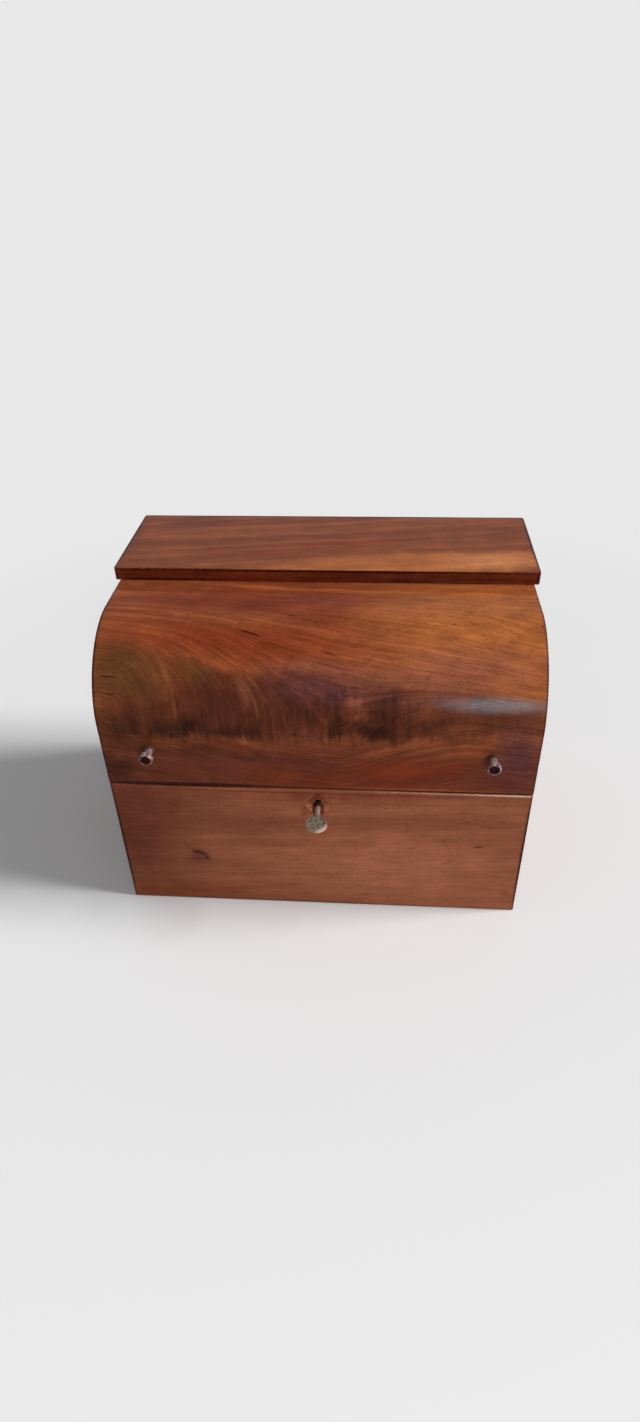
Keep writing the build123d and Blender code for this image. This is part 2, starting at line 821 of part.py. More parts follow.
# ---------------------------------------------------------------- lock: bolt and key
with BuildPart() as lock_bolt:
    with BuildSketch(facing_front(bolt_back_y)):
        with BuildLine():
            Polyline(
                (upright_left_x, rail_low_z),
                (leg_right_x, rail_low_z),
                (leg_right_x, talon_top_z),
                (talon_right_x, talon_top_z),
                (talon_right_x, talon_low_z),
                (right_post_x, talon_low_z),
                (right_post_x, finger_low_z),
                (right_nose_x - hook_gap, finger_low_z),
                (right_nose_x - hook_gap, bolt_top_z),
                (leg_left_x, bolt_top_z),
                (leg_left_x, rail_top_z),
                (upright_right_x, rail_top_z),
                (upright_right_x, finger_low_z),
                (left_nose_x - hook_gap, finger_low_z),
                (left_nose_x - hook_gap, bolt_top_z),
                (upright_left_x, bolt_top_z),
                close=True,
            )
        make_face()
    extrude(amount=bolt_thickness)
save(lock_bolt, "lock_bolt")

# A bowed strip that presses on the cap and keeps the bolt where it is put
spring_start_x = upright_left_x + spring_thickness
spring_end_x = spring_start_x + spring_length
spring_crest_y = cap_inside_y + run_gap

with BuildPart() as bolt_spring:
    with BuildSketch(Plane.XY.offset(rail_low_z)):
        with BuildLine():
            ThreePointArc(
                (spring_start_x, bolt_front_y),
                ((spring_start_x + spring_end_x) / 2, spring_crest_y),
                (spring_end_x, bolt_front_y),
            )
            Line((spring_end_x, bolt_front_y), (spring_end_x - spring_thickness, bolt_front_y))
            ThreePointArc(
                (spring_end_x - spring_thickness, bolt_front_y),
                ((spring_start_x + spring_end_x) / 2, spring_crest_y + spring_thickness),
                (spring_start_x + spring_thickness, bolt_front_y),
            )
            Line((spring_start_x + spring_thickness, bolt_front_y), (spring_start_x, bolt_front_y))
        make_face()
    extrude(amount=bolt_post)
save(bolt_spring, "bolt_spring")

key_end_y = lock_plate_y - run_gap
bow_start_y = front_y - bow_stand_off
bow_middle_y = bow_start_y - bow_length / 2

with BuildPart() as key:
    with BuildSketch(facing_front(key_end_y)):
        with Locations((0, key_z)):
            Circle(shank_radius)
    extrude(amount=key_end_y - bow_start_y + bow_rim_width)
    # Bit, held level: it points to the left while the bolt is withdrawn
    block(
        (-bit_reach, 0),
        (cap_inside_y + run_gap, key_end_y),
        (key_z - bit_thickness / 2, key_z + bit_thickness / 2),
    )
    with BuildSketch(facing_front(bow_start_y + key_collar_length + run_gap)):
        with Locations((0, key_z)):
            Circle(key_collar_radius)
    extrude(amount=key_collar_length)
    # Bow: an oval disc with a raised rim on both faces
    with BuildSketch(Plane.XY.offset(key_z - bow_thickness / 2)):
        with Locations((0, bow_middle_y)):
            Ellipse(bow_width / 2, bow_length / 2)
    extrude(amount=bow_thickness)
    for field_z in (key_z - bow_thickness / 2, key_z + bow_thickness / 2 - bow_field_sink):
        with BuildSketch(Plane.XY.offset(field_z)):
            with Locations((0, bow_middle_y)):
                Ellipse(bow_width / 2 - bow_rim_width, bow_length / 2 - bow_rim_width)
        extrude(amount=bow_field_sink, mode=Mode.SUBTRACT)
    # The hollow end of the shank runs on the drill pin
    with BuildSketch(facing_front(key_end_y)):
        with Locations((0, key_z)):
            Circle(drill_pin_radius + bore_gap)
    extrude(amount=key_end_y - cap_outside_y + run_gap, mode=Mode.SUBTRACT)
save(key, "key")

print(f"body {body_width} x {body_depth} x {total_height} mm, seam at {seam_z} mm")
print(f"key axis at {key_z:.1f} mm, bolt throw {bolt_throw} mm")
print(f"lock plate {2 * lock_half_width:.1f} mm wide")
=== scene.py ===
# %% [markdown]
# # A mahogany letter box, dressed for its picture
# The joinery is already made: every board, hinge and screw comes in from the frame at its
# real size.  This lesson gives those boards grain, polish, worn arrises and old metal.
# It is written for a reader who is learning Blender, one short step at a time.

import math

import bmesh
import bpy
from mathutils import Matrix, Vector, noise
from mathutils.kdtree import KDTree


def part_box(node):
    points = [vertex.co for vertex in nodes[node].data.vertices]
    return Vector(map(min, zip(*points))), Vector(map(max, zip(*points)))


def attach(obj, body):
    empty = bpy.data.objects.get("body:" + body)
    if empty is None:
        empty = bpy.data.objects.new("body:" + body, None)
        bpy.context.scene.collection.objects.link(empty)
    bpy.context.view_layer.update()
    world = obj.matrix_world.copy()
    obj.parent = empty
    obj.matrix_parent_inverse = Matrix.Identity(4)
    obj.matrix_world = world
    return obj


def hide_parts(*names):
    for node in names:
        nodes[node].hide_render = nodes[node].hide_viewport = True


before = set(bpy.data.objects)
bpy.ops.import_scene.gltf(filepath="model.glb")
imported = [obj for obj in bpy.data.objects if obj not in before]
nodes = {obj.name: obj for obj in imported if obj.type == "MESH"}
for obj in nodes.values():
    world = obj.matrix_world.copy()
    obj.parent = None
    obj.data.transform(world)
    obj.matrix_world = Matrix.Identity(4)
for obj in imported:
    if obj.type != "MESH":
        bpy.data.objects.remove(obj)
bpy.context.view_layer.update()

# %% [markdown]
# ## Places
# The box's front, its seam, its sides and its back are read from the frame, so the picture
# follows the joinery when one of them moves.  A bounding box doesn't tell how round a board
# is bent, so the bend's radius, the board's thickness and its small rounding are named here.

# %% Places read from the frame
MM = 0.001
BEND_RADIUS = 63 * MM
BOARD_THICKNESS = 10 * MM
BOARD_ROUNDING = 0.7 * MM

body_low, body_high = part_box("base_front")
front_y = body_low.y
side_x = body_high.x
curve_low, curve_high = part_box("curved_front")
lid_rim_z = curve_low.z
lid_top_z = curve_high.z
back_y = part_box("base_back")[1].y
top_low, top_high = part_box("top_board")
bend_y = front_y + BEND_RADIUS
bend_z = lid_top_z - BEND_RADIUS
bend_length = BEND_RADIUS * math.pi / 2
straight_rise = bend_z - lid_rim_z
print(f"front at {front_y:.4f} m, lid rim at {lid_rim_z:.4f} m, bend starts at {bend_z:.4f} m")

# %% [markdown]
# ## Camera
# The view looks down on the box from about twice its height, with a short lens, so the base
# narrows towards the desk.  A camera could be aimed with a Track To constraint, but
# three plain turns (yaw, tilt and roll) keep the slight lean of a hand-held shot.

# %% Camera
CAMERA_PLACE = Vector((41.2, -540.9, 518.5)) * MM
CAMERA_YAW = math.radians(4.93)
CAMERA_TILT = math.radians(53.73)
CAMERA_ROLL = math.radians(-1.58)
LENS_MM = 20.45
SENSOR_MM = 36.0

scene = bpy.context.scene
camera_data = bpy.data.cameras.new("camera")
camera_data.lens = LENS_MM
camera_data.sensor_width = SENSOR_MM
camera_data.clip_start = 0.01
camera = bpy.data.objects.new("camera", camera_data)
scene.collection.objects.link(camera)
turn = (
    Matrix.Rotation(CAMERA_YAW, 4, "Z")
    @ Matrix.Rotation(CAMERA_TILT, 4, "X")
    @ Matrix.Rotation(CAMERA_ROLL, 4, "Z")
)
camera.matrix_world = Matrix.Translation(CAMERA_PLACE) @ turn
scene.camera = camera
scene.view_settings.view_transform = "Standard"
print(f"camera at {tuple(round(v, 3) for v in CAMERA_PLACE)} m, lens {LENS_MM} mm")

# %% [markdown]
# ## Node helpers
# Materials are graphs.  Writing them by hand is long, so small helpers place a node, do
# sums, stretch and blend.  Most return the output socket that the next step needs.

# %% Node helpers


def put(tree, kind, inputs=None, **settings):
    """Add a node, set its options, and fill or link its inputs."""
    made = tree.nodes.new(kind)
    for key, value in settings.items():
        setattr(made, key, value)
    for key, value in (inputs or {}).items():
        if isinstance(value, bpy.types.NodeSocket):
            tree.links.new(value, made.inputs[key])
        else:
            made.inputs[key].default_value = value
    return made


def calc(tree, operation, *values, clamp=False):
    """One sum on numbers."""
    inputs = dict(enumerate(values))
    return put(tree, "ShaderNodeMath", inputs, operation=operation, use_clamp=clamp).outputs[0]


def times(tree, first, second):
    return calc(tree, "MULTIPLY", first, second)


def minus(tree, first, second):
    return calc(tree, "SUBTRACT", first, second)


def scaled(tree, value, factor, offset, **settings):
    """The value times the factor, plus the offset."""
    return calc(tree, "MULTIPLY_ADD", value, factor, offset, **settings)


def calc_vector(tree, operation, *values):
    """One sum on vectors; LENGTH and DOT_PRODUCT give a number, and SCALE takes one."""
    labels = ("Vector", "Scale") if operation == "SCALE" else range(len(values))
    made = put(tree, "ShaderNodeVectorMath", dict(zip(labels, values)), operation=operation)
    return made.outputs["Value" if operation in ("LENGTH", "DOT_PRODUCT") else "Vector"]


def combine(tree, x, y, z):
    return put(tree, "ShaderNodeCombineXYZ", {0: x, 1: y, 2: z}).outputs[0]


def split(tree, vector):
    return put(tree, "ShaderNodeSeparateXYZ", {0: vector}).outputs


def spin(tree, vector, angle):
    """Turn a place about the axis that points into the board."""
    made = put(tree, "ShaderNodeVectorRotate", {"Vector": vector, "Angle": angle}, rotation_type="Z_AXIS")
    return made.outputs[0]


def cloud(tree, vector, scale, detail=2.0, roughness=0.5, distortion=0.0):
    """Perlin noise from 0 to 1."""
    inputs = {"Vector": vector, "Scale": scale, "Detail": detail, "Roughness": roughness}
    return put(tree, "ShaderNodeTexNoise", {**inputs, "Distortion": distortion}).outputs[0]


def remap(tree, value, low, high, new_low=0.0, new_high=1.0, smooth=True):
    """Stretch low..high to new_low..new_high, and hold it there outside."""
    inputs = {"Value": value, 1: low, 2: high, 3: new_low, 4: new_high}
    kind = "SMOOTHSTEP" if smooth else "LINEAR"
    return put(tree, "ShaderNodeMapRange", inputs, interpolation_type=kind).outputs[0]


def blend_colour(tree, share, first, second, how="MIX"):
    made = put(tree, "ShaderNodeMix", {0: share, 6: first, 7: second}, data_type="RGBA", blend_type=how)
    return made.outputs[2]


def stain(tree, colour, mask, strength, tint):
    """Lay a tint over a colour where the mask shows."""
    return blend_colour(tree, times(tree, mask, strength), colour, tint)


def blend_number(tree, share, first, second):
    return put(tree, "ShaderNodeMix", {0: share, 2: first, 3: second}, data_type="FLOAT").outputs[0]


def new_group(name, numbers=(), vectors=(), outputs=()):
    """A shader node group with named inputs and outputs; returns the tree, its inputs and its end."""
    tree = bpy.data.node_groups.new(name, "ShaderNodeTree")
    for label in vectors:
        tree.interface.new_socket(label, in_out="INPUT", socket_type="NodeSocketVector")
    for label, value in dict(numbers).items():
        tree.interface.new_socket(label, in_out="INPUT", socket_type="NodeSocketFloat").default_value = value
    for label in outputs:
        tree.interface.new_socket(label, in_out="OUTPUT", socket_type="NodeSocketFloat")
    start = tree.nodes.new("NodeGroupInput")
    end = tree.nodes.new("NodeGroupOutput")
    return tree, start.outputs, end.inputs


def give(tree, outputs, **made):
    """Link what a group has made to its outputs; a name's spaces are written as underscores."""
    for key, socket in made.items():
        tree.links.new(socket, outputs[key.replace("_", " ")])


def use_group(tree, group, **inputs):
    """Place a group in a material; an input's spaces are written as underscores."""
    made = put(tree, "ShaderNodeGroup", node_tree=group)
    for key, value in inputs.items():
        socket = made.inputs[key.replace("_", " ")]
        if isinstance(value, bpy.types.NodeSocket):
            tree.links.new(value, socket)
        else:
            socket.default_value = value
    return made.outputs


def new_material(name, shine):
    """A material with nodes; returns it with its tree and its Principled shader."""
    material = bpy.data.materials.new(name)
    material.use_nodes = True
    tree = material.node_tree
    shader = tree.nodes["Principled BSDF"]
    shader.inputs["Specular IOR Level"].default_value = shine
    return material, tree, shader


def srgb(red, green, blue):
    """A colour as a paint chart gives it, 0 to 255, in the linear numbers that shaders use."""
    def linear(c):
        c /= 255
        return c / 12.92 if c <= 0.04045 else ((c + 0.055) / 1.055) ** 2.4
    return (linear(red), linear(green), linear(blue), 1.0)


print("node helpers ready")

# %% [markdown]
# ## Grain
# Mahogany shows three sizes of pattern: broad bands of colour, fine fibre lines, and open
# pores that read as short dark dashes along the fibre.  A Wave texture would draw bands as
# regular as corduroy, so noise is used, stretched a hundredfold along the grain.  The group
# reads a place in metres: x runs along the fibre, y across it and z into the board.

# %% Node group: grain
grain_group, grain_in, grain_out = new_group(
    "grain",
    numbers={"Wander": 0.004, "Band Width": 0.012},
    vectors=["Place"],
    outputs=["Bands", "Fibre", "Pores", "Streaks", "Mottle"],
)
tree = grain_group
part = split(tree, grain_in["Place"])
slow = combine(tree, times(tree, part[0], 7.0), times(tree, part[1], 22.0), part[2])
drift = minus(tree, cloud(tree, slow, 1.0, 2.0), 0.5)
across = scaled(tree, drift, times(tree, grain_in["Wander"], 2.0), part[1])


def grain_cloud(along, sideways, *settings):
    """Noise squeezed by one number along the fibre and by another across it and into the board."""
    squeezed = times(tree, part[0], along), times(tree, across, sideways), times(tree, part[2], sideways)
    return cloud(tree, combine(tree, *squeezed), 1.0, *settings)


per_band = calc(tree, "DIVIDE", 1.0, grain_in["Band Width"])
bands = remap(tree, grain_cloud(2.4, per_band, 3.0, 0.55), 0.3, 0.7)
fibre = grain_cloud(26.0, 900.0, 2.0, 0.6)
pores = remap(tree, grain_cloud(210.0, 2300.0, 1.0, 0.4), 0.64, 0.72)
streaks = remap(tree, grain_cloud(11.0, 330.0, 2.0, 0.5), 0.58, 0.74)
mottle = remap(tree, grain_cloud(38.0, 70.0, 4.0, 0.6, 0.4), 0.32, 0.68)
give(tree, grain_out, Bands=bands, Fibre=fibre, Pores=pores, Streaks=streaks, Mottle=mottle)
print("grain group:", [s.name for s in grain_out if s.name])

# %% [markdown]
# ## Feather
# Where the figure of a crotch hangs down across the board, it ends in a fringe of short
# upright lines.  The same noise draws the fringe on a stain's lower edge and the faint
# upright figure inside it.  The ragged outline of every spot comes from one more noise,
# read once for the whole board: fifty spots with a noise each would be slow to render.

# %% Node group: feather
feather_group, feather_in, feather_out = new_group(
    "feather", vectors=["Place"], outputs=["Comb", "Broad Rag", "Fine Rag"]
)
tree = feather_group
combed = calc_vector(tree, "MULTIPLY", feather_in["Place"], (290.0, 34.0, 0.0))
comb = minus(tree, cloud(tree, combed, 1.0, 3.0, 0.6), 0.5)
broad_rag = minus(tree, cloud(tree, feather_in["Place"], 48.0, 4.0, 0.6), 0.5)
fine_rag = minus(tree, cloud(tree, feather_in["Place"], 330.0, 4.0, 0.6), 0.5)
give(tree, feather_out, Comb=comb, Broad_Rag=broad_rag, Fine_Rag=fine_rag)
print("feather group ready")

# %% [markdown]
# ## Spots
# Knots, stains and flecks each sit at one place on a board.  They could be painted into an
# image, but a soft oval mask at a given place and size needs no picture and stays sharp at
# any distance.  A Mapping node of the Texture kind moves, turns and shrinks the board until
# the oval is a circle of radius one, and the noises above break its outline.

# %% Node group: spot
spot_group, spot_in, spot_out = new_group(
    "spot",
    numbers={
        "Along": 0.0, "Across": 0.0, "Length": 0.02, "Width": 0.01, "Tilt": 0.0, "Softness": 0.6,
        "Rag": 0.3, "Feather": 0.0, "Ragged": 0.0, "Comb": 0.0,
    },
    vectors=["Place"],
    outputs=["Mask"],
)
tree = spot_group
middle = combine(tree, spot_in["Along"], spot_in["Across"], 0.0)
radii = combine(tree, times(tree, spot_in["Length"], 0.5), times(tree, spot_in["Width"], 0.5), 1.0)
turned = combine(tree, 0.0, 0.0, spot_in["Tilt"])
fitting = {"Vector": spot_in["Place"], "Location": middle, "Rotation": turned, "Scale": radii}
circle = put(tree, "ShaderNodeMapping", fitting, vector_type="TEXTURE").outputs[0]
distance = calc_vector(tree, "LENGTH", circle)
distance = scaled(tree, spot_in["Ragged"], times(tree, spot_in["Rag"], 2.0), distance)
lower_half = remap(tree, split(tree, circle)[1], 0.1, -0.5)
fringe = times(tree, times(tree, spot_in["Comb"], lower_half), times(tree, spot_in["Feather"], 1.6))
distance = calc(tree, "ADD", distance, fringe)
inner = minus(tree, 1.0, spot_in["Softness"])
give(tree, spot_out, Mask=remap(tree, distance, inner, 1.15, 1.0, 0.0))
print("spot group ready")

# %% [markdown]
# ## Wear
# Arrises that hands rub go pale and lose their polish, and broad faces gather hairline
# scratches and smears.  The boards carry a number called worn, 1 on an arris and 0 on a
# face, so this group only breaks that number up and adds the marks of use.

# %% Node group: wear
wear_group, wear_in, wear_out = new_group(
    "wear",
    numbers={"Worn": 0.0, "Amount": 1.0},
    vectors=["Place"],
    outputs=["Rubbed", "Scratches", "Smears"],
)
tree = wear_group
patch = cloud(tree, wear_in["Place"], 90.0, 3.0, 0.6)
rubbed = times(tree, wear_in["Worn"], remap(tree, patch, 0.36, 0.62, 0.12, 1.0))
rubbed = calc(tree, "MULTIPLY", rubbed, wear_in["Amount"], clamp=True)
stretched = calc_vector(tree, "MULTIPLY", wear_in["Place"], (24.0, 620.0, 620.0))
turned = spin(tree, wear_in["Place"], 1.1)
stretched_too = calc_vector(tree, "MULTIPLY", turned, (30.0, 700.0, 700.0))
one_way = remap(tree, cloud(tree, stretched, 1.0, 0.0), 0.745, 0.77)
other_way = remap(tree, cloud(tree, stretched_too, 1.0, 0.0), 0.755, 0.78)
scratches = calc(tree, "MAXIMUM", one_way, other_way)
wiped = calc_vector(tree, "MULTIPLY", wear_in["Place"], (16.0, 34.0, 34.0))
smears = cloud(tree, wiped, 1.0, 4.0, 0.62, 0.6)
give(tree, wear_out, Rubbed=rubbed, Scratches=scratches, Smears=smears)
print("wear group ready")

# %% [markdown]
# ## A bent fibre field
# Where a branch left the trunk, mahogany fibres hang down like a curtain and the board shows
# a flame.  The grain group draws straight boards, so this group bends the place it is given.
# Its field is one number per place, and the fibre follows the lines on which that number
# stays the same: level near the top, falling to the right lower down, upright in the smoky
# band.  At the left end the lines turn over a rounded arch, and a few of them shine.  The
# lengths in this group are millimetres.

# %% Node group: crotch flow
ARCH_LEFT, ARCH_FOOT = -157.0, 42.0
ARCH_WIDTH, ARCH_HEIGHT = 60.0, 77.0
SHINING_LINES = (5.7, 8.6)
flow_tree, flow_in, flow_out = new_group(
    "crotch flow", vectors=["Place"], outputs=["Along", "Across", "Depth", "Ridge"]
)
tree = flow_tree


def settle(value, low, high):
    """A number whose slope grows smoothly from 0 at low to 1 at high."""
    part_way = remap(tree, value, low, high, smooth=False)
    cube = calc(tree, "POWER", part_way, 3.0)
    width = high - low
    bowed = times(tree, cube, scaled(tree, part_way, -0.5 * width, width))
    return calc(tree, "ADD", bowed, calc(tree, "MAXIMUM", minus(tree, value, high), 0.0))


in_mm = calc_vector(tree, "SCALE", flow_in["Place"], 1000.0)
x_mm, y_mm, _ = split(tree, in_mm)
falling = minus(tree, settle(x_mm, -150.0, -90.0), settle(x_mm, -60.0, 0.0))
falling = scaled(tree, falling, 0.32, scaled(tree, x_mm, 0.17, -15.0))
falling = times(tree, falling, remap(tree, y_mm, 110.0, 160.0, 1.0, 0.3))
rising = scaled(tree, y_mm, 0.04, settle(y_mm, 62.0, 128.0))
level = scaled(tree, y_mm, 1.04, -95.0)
rising = blend_number(tree, remap(tree, x_mm, 10.0, 115.0), rising, level)
below = calc(tree, "MAXIMUM", minus(tree, 44.0, y_mm), 0.0)
curtain = calc(tree, "ADD", falling, scaled(tree, below, -1.3, rising))
past_left = calc(tree, "MAXIMUM", minus(tree, x_mm, ARCH_LEFT), 0.0)
arch_x = calc(tree, "DIVIDE", past_left, ARCH_WIDTH)
past_foot = calc(tree, "MAXIMUM", minus(tree, y_mm, ARCH_FOOT), 0.0)
arch_y = calc(tree, "DIVIDE", past_foot, ARCH_HEIGHT)
cubes = calc(tree, "ADD", calc(tree, "POWER", arch_x, 3.0), calc(tree, "POWER", arch_y, 3.0))
arch = calc(tree, "POWER", cubes, 1 / 3)
outside = calc(tree, "MAXIMUM", remap(tree, arch, 0.99, 1.03), remap(tree, y_mm, 46.0, 36.0))
bent = blend_number(tree, outside, scaled(tree, arch, ARCH_HEIGHT, 200.0), curtain)
first_line = remap(tree, calc(tree, "ABSOLUTE", minus(tree, arch, 1.0)), 0.0, 0.03, 0.7, 0.0)
apart = [calc(tree, "ABSOLUTE", minus(tree, curtain, line)) for line in SHINING_LINES]
second_line = remap(tree, calc(tree, "MINIMUM", *apart), 0.0, 0.9, 0.8, 0.0)
near_second = times(tree, remap(tree, x_mm, -84.0, -70.0), remap(tree, x_mm, -30.0, -44.0))
ridge = calc(tree, "MAXIMUM", first_line, times(tree, second_line, near_second))
ridge = times(tree, ridge, remap(tree, y_mm, 46.0, 72.0))
along = times(tree, minus(tree, x_mm, y_mm), MM)
depth = split(tree, flow_in["Place"])[2]
give(tree, flow_out, Along=along, Across=times(tree, bent, MM), Depth=depth, Ridge=ridge)
print("crotch flow group ready")

# %% [markdown]
# ## Polished mahogany
# One recipe serves every mahogany board: dark and light wood mixed by the bands, finer
# contrast from the fibre, dark pores, then the board's own spots, then wear on top.  The
# shader itself is a Principled BSDF; its gloss stays plain so that it survives an export.

# %% The wood recipe
RAW_WOOD = srgb(150, 96, 62)
DARK_ARRIS = srgb(70, 30, 16)


def wood_material(
    name, dark, light, pore, tilt=0.0, band_width=0.012, wander=0.004, fibre_depth=0.3, band_depth=0.06,
    gloss=0.18, rub=1.0, arris=RAW_WOOD, spots=(), glints=(), feathers=(), flow=False, mottle=0.2, streak=0.2,
    shine=0.04,
):
    """Polished or oiled wood, with its spots, golden glints and feathered curls."""
    material, tree, shader = new_material(name, shine)
    place = put(tree, "ShaderNodeAttribute", attribute_name="grain_place").outputs["Vector"]
    worn = put(tree, "ShaderNodeAttribute", attribute_name="worn").outputs["Fac"]
    fibre_place = place
    if flow:
        bent = use_group(tree, flow_tree, Place=place)
        fibre_place = combine(tree, bent[0], bent[1], bent[2])
    if tilt:
        fibre_place = spin(tree, fibre_place, -tilt)
    grain = use_group(tree, grain_group, Place=fibre_place, Band_Width=band_width, Wander=wander)
    colour = blend_colour(tree, grain["Bands"], dark, light)
    figure = use_group(tree, feather_group, Place=place)
    flat = calc_vector(tree, "MULTIPLY", place, (1.0, 1.0, 0.0))

    def spot(along, across, length, width, turn_by, soft, rag, feather):
        return use_group(
            tree, spot_group, Place=flat, Along=along * MM, Across=across * MM, Length=length * MM,
            Width=width * MM, Tilt=turn_by, Softness=soft, Rag=rag, Feather=feather, Comb=figure["Comb"],
            Ragged=figure["Fine Rag" if min(length, width) < 12 else "Broad Rag"],
        )["Mask"]

    for *oval, tint, share in spots:
        colour = stain(tree, colour, spot(*oval), share, tint)
    if flow:
        shining = scaled(tree, figure["Broad Rag"], 2.2, 0.3, clamp=True)
        shining = times(tree, shining, scaled(tree, grain["Streaks"], 0.5, 0.6))
        colour = stain(tree, colour, bent["Ridge"], shining, GOLD)
    fine = remap(tree, grain["Fibre"], 0.3, 0.7, 1.0 - fibre_depth, 1.0 + fibre_depth * 0.6)
    cloudy = remap(tree, grain["Mottle"], 0.0, 1.0, 1.0 - mottle, 1.0 + mottle * 0.6)
    lines = scaled(tree, grain["Streaks"], streak, 1.0)
    for along, across, length, width, turn_by, strength in glints:
        golden = times(tree, grain["Streaks"], strength)
        mask = spot(along, across, length, width, turn_by, 1.0, 0.3, 0.0)
        lines = scaled(tree, golden, mask, lines)
    for along, across, length, width, strength in feathers:
        mask = spot(along, across, length, width, 0.0, 0.8, 0.3, 0.0)
        curls = scaled(tree, figure["Broad Rag"], 1.3, figure["Comb"])
        lines = scaled(tree, curls, times(tree, mask, strength), lines)
    striped = remap(tree, grain["Bands"], 0.0, 1.0, 1.0 - band_depth, 1.0 + band_depth)
    lines = times(tree, lines, striped)
    contrast = times(tree, times(tree, fine, cloudy), lines)
    grey = put(tree, "ShaderNodeCombineColor", {0: contrast, 1: contrast, 2: contrast}).outputs[0]
    colour = blend_colour(tree, 1.0, colour, grey, "MULTIPLY")
    colour = stain(tree, colour, grain["Pores"], 0.75, pore)
    wear = use_group(tree, wear_group, Place=place, Worn=worn, Amount=rub)
    colour = stain(tree, colour, wear["Rubbed"], 0.8, arris)
    colour = stain(tree, colour, wear["Scratches"], 0.08, RAW_WOOD)
    tree.links.new(colour, shader.inputs["Base Color"])
    dull = scaled(tree, wear["Smears"], 0.16, gloss - 0.08)
    dull = scaled(tree, grain["Pores"], 0.15, dull)
    dull = scaled(tree, wear["Rubbed"], 0.25, dull, clamp=True)
    tree.links.new(dull, shader.inputs["Roughness"])
    height = scaled(tree, grain["Pores"], -0.6, times(tree, grain["Fibre"], 0.35))
    height = scaled(tree, wear["Scratches"], -0.25, height)
    bump = put(tree, "ShaderNodeBump", {"Strength": 0.35, "Distance": 0.00006, "Height": height})
    tree.links.new(bump.outputs[0], shader.inputs["Normal"])
    return material


print("wood recipe ready")

# %% [markdown]
# ## The boards' finishes
# The curved front is the show piece: red-orange where it turns up to the light, a smoky
# stain across the middle, an olive patch and a sweep of crotch figure at the left.  The base
# front is quieter, with one crescent knot.  The top board has diagonal ribbon stripes.  The
# inside faces were only oiled, so they are paler and dull.  Every spot takes its colour from
# one short palette, as a restorer mixes a few stains: change a tone, and its spots follow.
# A few spots are not stains but painted light and shade, marked where they stand.

# %% Tones of old mahogany
SAND = srgb(200, 130, 80)
TAN = srgb(170, 98, 52)
AMBER = srgb(168, 86, 44)
CLAY = srgb(140, 80, 60)
CHESTNUT = srgb(126, 50, 24)
BISCUIT_AND_LIGHT = srgb(162, 98, 70)
RUST = srgb(128, 52, 24)
BRICK = srgb(104, 34, 14)
UMBER = srgb(100, 48, 32)
COCOA_AND_SHADE = srgb(88, 40, 25)
OLIVE = srgb(92, 56, 30)
PLUM = srgb(90, 50, 50)
PAINTED_REFLECTION = srgb(120, 110, 110)
SMOKE = srgb(82, 40, 26)
SOOT = srgb(48, 20, 12)
PITCH = srgb(30, 15, 10)
FLECK = srgb(58, 18, 7)
GOLD = srgb(172, 108, 56)
RUBBED_AND_LIT = srgb(150, 84, 44)
RIM = srgb(40, 14, 10)
PAINTED_HIGHLIGHT = srgb(220, 190, 170)
print("tones ready, from PITCH to PAINTED_HIGHLIGHT")

